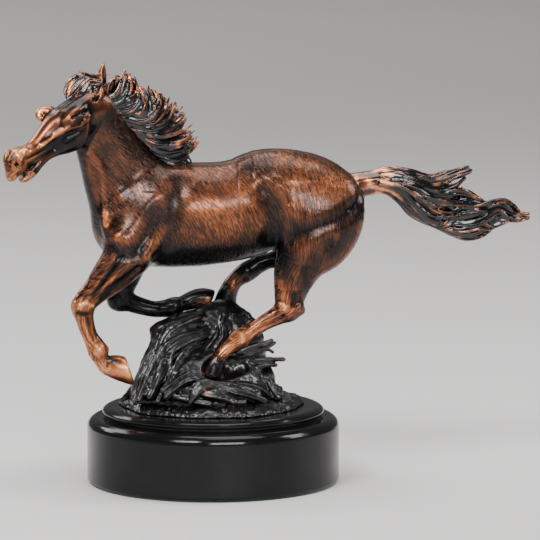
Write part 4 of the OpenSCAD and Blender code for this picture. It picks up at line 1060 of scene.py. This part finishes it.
def patina_and_painted_light(p, n, labels):
    """How dark the bronze is at each vertex, from 0 for bare copper to 1 for black: patina with painted shade
    and highlights
    """
    x, y, z = p.T
    dark = np.full(len(p), 0.38)
    # painted shade, partly the patina there too: darker on the downward-facing belly and towards the bottom
    # of the barrel
    trunk = smooth(x, -60, -50) * smooth(-x, -44, -34) * smooth(z, 102, 112)
    dark += (0.40 * trunk * smooth(-n[:, 2], 0.2, 0.9)
             + 0.30 * smooth(x, -36, -26) * trunk * smooth(-z, -124, -112))
    # painted shade on the forward-facing chest and throat
    front = smooth(z, 112, 124) * (labels < 2)
    dark += 0.36 * front * smooth(-n[:, 0], 0.45, 0.9)
    # painted shade over the far legs, lifted again at their copper hooves
    far_leg = (y > 3) & (z < 118)
    dark += 0.62 * far_leg * smooth(-z, -118, -108)
    dark -= 0.5 * far_leg * (smooth(-np.hypot(x - 14, z - 98), -9, -3)
                             + smooth(-np.hypot(x + 4, z - 88), -6, -3))
    for line, width, amount in PATINA_AND_PAINTED_LIGHT:
        amount *= PATINA_AND_PAINTED_LIGHT_STRENGTH
        keep = np.where(far_leg, 0.15, 1.0) if line[0][1] < 100 else np.where(far_leg, 0.3, 1.0)
        dark += amount * keep * near_line(p, line, width)
    # the head, in its own directions
    head = labels == 2
    q = p - POLL
    u, w, v = q @ FACE, q @ NEAR, q @ CROWN
    local = np.full(len(p), 0.44)
    for line in DARK_FACE_LINES:
        local += 0.34 * near_line(np.column_stack([u, w, v]), line, 0.8)
    # lighter muzzle and far brow, then a painted highlight down the front of the face
    local -= 0.22 * smooth(u, 38, 52) * smooth(v, -9, -5)
    local -= 0.22 * np.exp(-((u - 29) / 4) ** 2 - ((w + 11) / 4) ** 2)
    local -= 0.10 * smooth(u, 26, 36) * smooth(v, -3, 1)
    local += 0.50 * np.exp(-((u - 33) / 7) ** 2 - ((v + 5.4) / 3) ** 2) * smooth(np.abs(w), 2, 5)
    # painted shade: darker towards the underside of the jowl
    local += 0.22 * smooth(-v, 5, 12) * smooth(-u, -48, -34)
    local += 0.34 * np.exp(-((u - 15) / 8) ** 2 - ((v - 4) / 5) ** 2)
    local += 0.12 * np.exp(-((u - 21) / 5) ** 2 - (v / 2.4) ** 2) * smooth(w, 6, 9)
    # painted shade: darker under the jaw and the chin
    local += 0.2 * smooth(-v, 8.5, 12.5) + 0.34 * smooth(-v, 6.5, 10.5) * smooth(u, 36, 50)
    local += 0.5 * np.exp(-((u - 23.2) / 2) ** 2 - ((v + 0.4) / 1.6) ** 2) * smooth(w, 6, 9)
    local += 0.36 * smooth(z, 199, 202) * smooth(-z, -211, -207)
    return np.clip(np.where(head, local, dark), 0, 1)


def limb_flow(p, stations):
    """How far down a leg each point is, and how far to the front or back of its middle line"""
    line = curve(stations, 3.0)[:, [0, 2]]
    best = np.full(len(p), 1e9)
    down, aside = np.zeros(len(p)), np.zeros(len(p))
    reached = 0.0
    q = p[:, [0, 2]]
    for a, b in zip(line[:-1], line[1:]):
        step = b - a
        size = np.hypot(*step)
        t = np.clip((q - a) @ step / size ** 2, 0, 1)
        off = q - a - t[:, None] * step
        gap = (off ** 2).sum(1)
        closer = gap < best
        best[closer] = gap[closer]
        down[closer] = (reached + t * size)[closer]
        aside[closer] = (off @ np.array([-step[1], step[0]]) / size)[closer]
        reached += size
    return down, aside


LIMBS = {3: NEAR_FORE_ARM[1:-1] + NEAR_FORE_SHIN[1:] + NEAR_FORE_HOOF[1:],
         4: FAR_FORE_ARM[1:-1] + FAR_FORE_SHIN[1:],
         5: NEAR_THIGH[3:] + NEAR_HIND_SHIN[2:], 6: FAR_THIGH[3:] + FAR_HIND_SHIN[1:]}


def coat_flow(p, labels):
    """Directions that the engraved coat runs in: mm along it and mm across it"""
    x, z = p[:, 0] + 2.2 * noise3(p, 22.0, 1), p[:, 2] + 2.2 * noise3(p, 22.0, 2)
    lean = np.interp(x, [-60, -40, -18, 10, 30, 48, 70], [50, 50, 56, 52, 58, 68, 78])
    lean = np.radians(lean + np.interp(z, [112, 140, 165], [14, 0, -8]) * smooth(x, -30, -15))
    x, z = x - 8, z - 137
    along_it, across_it = np.cos(lean) * x - np.sin(lean) * z, np.sin(lean) * x + np.cos(lean) * z
    for number, stations in LIMBS.items():
        down, aside = limb_flow(p, stations)
        own = labels == number
        along_it = np.where(own, 0.8 * down, along_it)
        across_it = np.where(own, 1.45 * (aside + 0.6 * p[:, 1]), across_it)
    return along_it, across_it


# ---------------------------------------------------------------- materials
class Look:
    """A material built from nodes"""

    def __init__(self, name):
        self.material = bpy.data.materials.new(name)
        self.material.use_nodes = True
        self.tree = self.material.node_tree
        self.shader = self.tree.nodes["Principled BSDF"]
        self.place = self.new("ShaderNodeTexCoord").outputs["Object"]

    def new(self, kind, **settings):
        node = self.tree.nodes.new(kind)
        for key, value in settings.items():
            setattr(node, key, value)
        return node

    def put(self, socket, value):
        if isinstance(value, bpy.types.NodeSocket):
            self.tree.links.new(value, socket)
        else:
            socket.default_value = value

    def set(self, **values):
        for key, value in values.items():
            self.put(self.shader.inputs[key.replace("_", " ")], value)

    def attribute(self, name):
        return self.new("ShaderNodeAttribute", attribute_name=name).outputs["Fac"]

    def math(self, operation, a, b=0.0, clamp=False):
        node = self.new("ShaderNodeMath", operation=operation, use_clamp=clamp)
        self.put(node.inputs[0], a)
        self.put(node.inputs[1], b)
        return node.outputs[0]

    def span(self, value, low, high, to_low, to_high):
        node = self.new("ShaderNodeMapRange")
        for i, v in enumerate((value, low, high, to_low, to_high)):
            self.put(node.inputs[i], v)
        return node.outputs[0]

    def noise(self, size, detail=2.0, roughness=0.5, vector=None, distortion=0.0):
        """Noise with grains about size mm across"""
        node = self.new("ShaderNodeTexNoise")
        self.put(node.inputs["Vector"], vector or self.place)
        self.put(node.inputs["Scale"], (1.0 if vector else 1000.0) / size)
        self.put(node.inputs["Detail"], detail)
        self.put(node.inputs["Roughness"], roughness)
        self.put(node.inputs["Distortion"], distortion)
        return node.outputs["Fac"]

    def colours(self, value, stops):
        ramp = self.new("ShaderNodeValToRGB")
        while len(ramp.color_ramp.elements) < len(stops):
            ramp.color_ramp.elements.new(0.5)
        for element, (at, colour) in zip(ramp.color_ramp.elements, stops):
            element.position = at
            element.color = (*colour, 1)
        self.put(ramp.inputs[0], value)
        return ramp.outputs[0]

    def bump(self, height, distance, strength=1.0, over=None):
        node = self.new("ShaderNodeBump")
        self.put(node.inputs["Height"], height)
        self.put(node.inputs["Distance"], distance * MM)
        self.put(node.inputs["Strength"], strength)
        if over:
            self.put(node.inputs["Normal"], over)
        return node.outputs[0]


BRONZE = [(0.0, (0.006, 0.006, 0.008)), (0.2, (0.014, 0.011, 0.011)), (0.4, (0.048, 0.022, 0.015)),
          (0.58, (0.145, 0.048, 0.021)), (0.76, (0.36, 0.115, 0.042)), (1.0, (0.78, 0.33, 0.15))]
STUMP_TONES = [(0.0, (0.004, 0.004, 0.005)), (0.35, (0.014, 0.013, 0.014)), (0.62, (0.055, 0.052, 0.052)),
               (0.8, (0.20, 0.12, 0.09)), (1.0, (0.55, 0.25, 0.12))]


def bronze(name, coat_lines):
    """Copper-plated bronze with dark patina in the hollows and the painted shade and highlights of the dark
    attribute; coat_lines is the depth of the engraved coat
    """
    look = Look(name)
    flow = look.new("ShaderNodeCombineXYZ")
    look.put(flow.inputs[0], look.math("MULTIPLY", look.attribute("along"), 0.13))
    look.put(flow.inputs[1], look.attribute("across"))
    place = look.new("ShaderNodeSeparateXYZ")
    look.put(place.inputs[0], look.place)
    look.put(flow.inputs[2], look.math("MULTIPLY", place.outputs[1], 300.0))
    lines = look.noise(0.6, 1.5, 0.6, vector=flow.outputs[0])
    engraved = look.span(lines, 0.40, 0.56, 0, 1)
    fur = look.attribute("fur")
    blotches = look.noise(9, 3)
    grain = look.noise(1.1, 3, 0.6)
    # the dark attribute carries the patina together with painted shade and painted highlights
    bright = look.math("SUBTRACT", 1.0, look.attribute("dark"))
    bright = look.math("ADD", bright, look.span(look.attribute("cavity"), -0.30, 0.30, -0.30, 0.16))
    bright = look.math("ADD", bright, look.span(look.attribute("hollow"), -0.8, 0.8, -0.12, 0.06))
    bright = look.math("ADD", bright, look.span(blotches, 0.35, 0.65, -0.06, 0.06))
    bright = look.math("ADD", bright, look.span(grain, 0.3, 0.7, -0.04, 0.04))
    cut = look.math("MULTIPLY", look.math("SUBTRACT", engraved, 0.62), look.math("MULTIPLY", fur, 0.19))
    bright = look.math("ADD", bright, cut, clamp=True)
    look.set(Base_Color=look.colours(bright, BRONZE), Metallic=0.92,
             Roughness=look.span(look.math("ADD", bright, look.math("MULTIPLY", grain, 0.3)),
                                 0.2, 1.2, 0.24, 0.36),
             Coat_Weight=0.22, Coat_Roughness=0.2)
    height = look.math("MULTIPLY", engraved, fur)
    ripple = look.bump(look.noise(3.2, 2), 0.10, 0.5)
    look.set(Normal=look.bump(height, coat_lines, 1.0, over=ripple))
    return look.material


def hair_bronze():
    """Black in the grooves between the locks, rubbed copper and pale metal on their ridges"""
    look = Look("hair_bronze")
    blotches = look.noise(5, 2)
    bright = look.span(look.attribute("cavity"), -0.04, 0.28, -0.16, 0.68)
    bright = look.math("ADD", bright, look.span(blotches, 0.40, 0.66, -0.32, 0.20))
    bright = look.math("SUBTRACT", bright, look.attribute("dark"), clamp=True)
    look.set(Base_Color=look.colours(bright, BRONZE), Metallic=0.92, Coat_Weight=0.9, Coat_Roughness=0.12,
             Roughness=look.span(bright, 0, 1, 0.22, 0.34), Normal=look.bump(look.noise(0.9, 2), 0.06, 0.6))
    return look.material


def stump_bronze():
    """Almost black, dull in the hollows, with rubbed dark grey ridges and a few flecks of copper"""
    look = Look("stump_bronze")
    grain = look.noise(1.0, 4, 0.65)
    cavity = look.attribute("cavity")
    ridge = look.math("ADD", look.span(cavity, -0.25, 0.4, -0.15, 0.5),
                      look.span(grain, 0.35, 0.7, -0.1, 0.1))
    fleck = look.math("MULTIPLY", look.span(look.noise(7, 2), 0.60, 0.70, 0, 1),
                      look.span(cavity, 0.18, 0.4, 0, 1))
    tone = look.math("ADD", ridge, look.math("MULTIPLY", fleck, 0.3), clamp=True)
    tone = look.math("ADD", tone, look.attribute("dark"), clamp=True)
    look.set(Base_Color=look.colours(tone, STUMP_TONES), Metallic=0.75, Coat_Weight=0.5, Coat_Roughness=0.2,
             Roughness=look.span(grain, 0.3, 0.7, 0.28, 0.45),
             Normal=look.bump(look.noise(0.7, 3, 0.65), 0.16, 0.8))
    return look.material


def lacquer():
    """Deep black gloss with the faint waviness of brushed lacquer"""
    look = Look("black_lacquer")
    haze = look.noise(18, 3)
    look.set(Base_Color=look.colours(haze, [(0.3, (0.0035, 0.0035, 0.004)), (0.7, (0.007, 0.0065, 0.007))]),
             Roughness=look.span(look.noise(6, 4), 0.3, 0.7, 0.12, 0.18), Specular_IOR_Level=0.16,
             Coat_Weight=0.10, Coat_Roughness=0.05, Normal=look.bump(look.noise(14, 2), 0.10, 0.25))
    return look.material


def plain_metal(name, dark, light, rough):
    look = Look(name)
    marks = look.noise(2.5, 4, 0.6)
    look.set(Base_Color=look.colours(marks, [(0.3, dark), (0.7, light)]), Metallic=1.0,
             Roughness=look.span(marks, 0.3, 0.7, rough, rough + 0.12), Normal=look.bump(marks, 0.05, 0.4))
    return look.material


def felt():
    look = Look("felt")
    fibre = look.noise(0.8, 5, 0.7, distortion=1.5)
    look.set(Base_Color=look.colours(fibre, [(0.3, (0.004, 0.012, 0.008)), (0.7, (0.014, 0.034, 0.022))]),
             Roughness=0.95, Sheen_Weight=0.4, Normal=look.bump(fibre, 0.25, 0.9))
    return look.material


def beech():
    look = Look("beech")
    stretched = look.new("ShaderNodeMapping")
    look.put(stretched.inputs[0], look.place)
    stretched.inputs["Scale"].default_value = (1, 1, 0.12)
    rings = look.noise(1.6 / 1000, 4, 0.6, vector=stretched.outputs[0], distortion=0.6)
    look.set(Base_Color=look.colours(rings, [(0.3, (0.36, 0.20, 0.09)), (0.7, (0.58, 0.37, 0.19))]),
             Roughness=0.6, Normal=look.bump(rings, 0.08, 0.5))
    return look.material


def dress(thing, material):
    thing.data.materials.clear()
    thing.data.materials.append(material)


# ---------------------------------------------------------------- building the pieces
HORSE_NODES = {"body": "body_casting", "neck": "neck_casting", "head": "head_casting",
               "near_fore": "near_fore_leg", "far_fore": "far_fore_leg",
               "near_hind": "near_hind_leg", "far_hind": "far_hind_leg"}
coated = bronze("coat_bronze", 0.16)


def show(piece, node, material):
    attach(piece, "root")
    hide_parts(node)
    dress(piece, material)


def show_horse():
    points, quads, near_cavity, wide_cavity = build_horse()
    normals = vertex_normals(points, quads)
    labels = casting_of(points[quads].mean(1))
    at_vertex = casting_of(points)
    along_it, across_it = coat_flow(points, at_vertex)
    x, y, z = points.T
    fur = np.where(at_vertex < 2, 1.0, 0.0) * smooth(z, 100, 116) * np.where(x < -50, 0.7, 1.0)
    hoof = (np.hypot(x + 45, z - 59) < 9) | (np.hypot(x + 3, z - 56) < 8) | (np.hypot(x - 3, z - 90) < 6)
    fur = np.where((at_vertex > 2) & ~hoof, 1.4, fur)
    calm = np.where(at_vertex < 2, 0.45, 1.0)
    values = {"cavity": near_cavity * calm, "hollow": wide_cavity * calm, "fur": fur, "along": along_it,
              "across": across_it, "dark": patina_and_painted_light(points, normals, at_vertex)}
    for name, piece in split_pieces(points, quads, labels, list(HORSE_NODES), normals, values).items():
        show(piece, HORSE_NODES[name], coated)


def show_form(name, node, clay, material, rough=(), shade=None):
    points, quads, normals, values = finished(clay, rough)
    values["dark"] = shade(points) if shade else np.zeros(len(points))
    piece = make_piece(name, points, [quads], normals, **values)
    show(piece, node, material)


hair = hair_bronze()
rock = stump_bronze()
show_horse()
show_form("mane", "mane_casting", build_mane(), hair)
show_form("forelock", "forelock_casting", build_forelock(), hair)
show_form("tail", "tail_casting", build_tail(), hair,
          shade=lambda p: -0.68 * smooth(-p[:, 0], -96, -84) + 0.12 * smooth(p[:, 0], 98, 110))
show_form("stump", "stump_casting", build_stump(), rock, rough=[(3.0, 0.22), (1.2, 0.1)],
          shade=lambda p: 0.6 * np.exp(-((p - np.array([-6.6, -30, 50])) ** 2).sum(1) / 12))
show_form("ground", "ground_casting", build_ground(), rock,
          rough=[(3.4, 0.4), (1.8, 0.5), (1.0, 0.3)], shade=lambda p: np.full(len(p), -0.2))

LOOKS = {"felt_pad": felt(), "plinth_drum": lacquer(), "plinth_moulding": lacquer(), "plinth_dowels": beech(),
         "mounting_studs": plain_metal("steel", (0.45, 0.45, 0.46), (0.62, 0.62, 0.63), 0.28),
         "pins": plain_metal("brass", (0.62, 0.42, 0.16), (0.80, 0.60, 0.28), 0.25)}
for thing in list(bpy.data.objects):
    if thing.type != "MESH" or thing.data.materials and thing.data.materials[0] in (coated, hair, rock):
        continue
    node = thing.name
    kind = "pins" if "pin" in node else "mounting_studs" if node.startswith("stud") else node
    if kind in LOOKS:
        dress(thing, LOOKS[kind])


# ---------------------------------------------------------------- stage, light and camera
def make_floor():
    bpy.ops.mesh.primitive_plane_add(size=30, location=(0, 0, 0))
    floor = bpy.context.active_object
    floor.name = "floor"
    m = bpy.data.materials.new("floor")
    m.use_nodes = True
    b = m.node_tree.nodes["Principled BSDF"]
    b.inputs["Base Color"].default_value = (0.66, 0.64, 0.63, 1)
    b.inputs["Roughness"].default_value = 0.6
    floor.data.materials.append(m)


def area_light(name, location, target, size, power, size_y=None):
    data = bpy.data.lights.new(name, "AREA")
    data.energy = power
    data.shape = "RECTANGLE"
    data.size = size
    data.size_y = size_y or size
    light = bpy.data.objects.new(name, data)
    light.location = location
    light.rotation_euler = (Vector(target) - Vector(location)).to_track_quat("-Z", "Y").to_euler()
    bpy.context.scene.collection.objects.link(light)


def make_camera():
    azimuth, elevation, distance = math.radians(-8.0), math.radians(7.3), 2.0
    back = np.array([math.sin(azimuth) * math.cos(elevation), -math.cos(azimuth) * math.cos(elevation),
                     math.sin(elevation)])
    target = np.array([0.028764, 0.0, 0.105847])
    data = bpy.data.cameras.new("camera")
    data.sensor_width = 36
    data.lens = 800 / 3
    data.clip_end = 20
    camera = bpy.data.objects.new("camera", data)
    camera.location = target + distance * back
    camera.rotation_euler = (math.pi / 2 - elevation, 0, azimuth)
    bpy.context.scene.collection.objects.link(camera)
    bpy.context.scene.camera = camera


def make_light():
    middle = (0.02, 0, 0.12)
    area_light("front", (0.15, -1.5, 0.6), middle, 0.8, 13, size_y=0.22)
    area_light("key", (-0.7, -1.0, 1.2), middle, 0.6, 23, size_y=0.4)
    area_light("side", (1.4, -0.15, 1.0), middle, 0.6, 16)
    area_light("backdrop", (-0.4, 3.5, 2.6), (-0.4, 4.6, 0), 3.0, 55)
    area_light("top", (0.1, 0.05, 1.5), middle, 1.3, 18, size_y=0.8)
    area_light("rim", (-0.9, 0.9, 0.9), middle, 0.6, 9)
    world = bpy.data.worlds.new("world")
    bpy.context.scene.world = world
    world.use_nodes = True
    world.node_tree.nodes["Background"].inputs["Color"].default_value = (0.95, 0.93, 0.92, 1)
    world.node_tree.nodes["Background"].inputs["Strength"].default_value = 0.17


make_floor()
make_light()
make_camera()
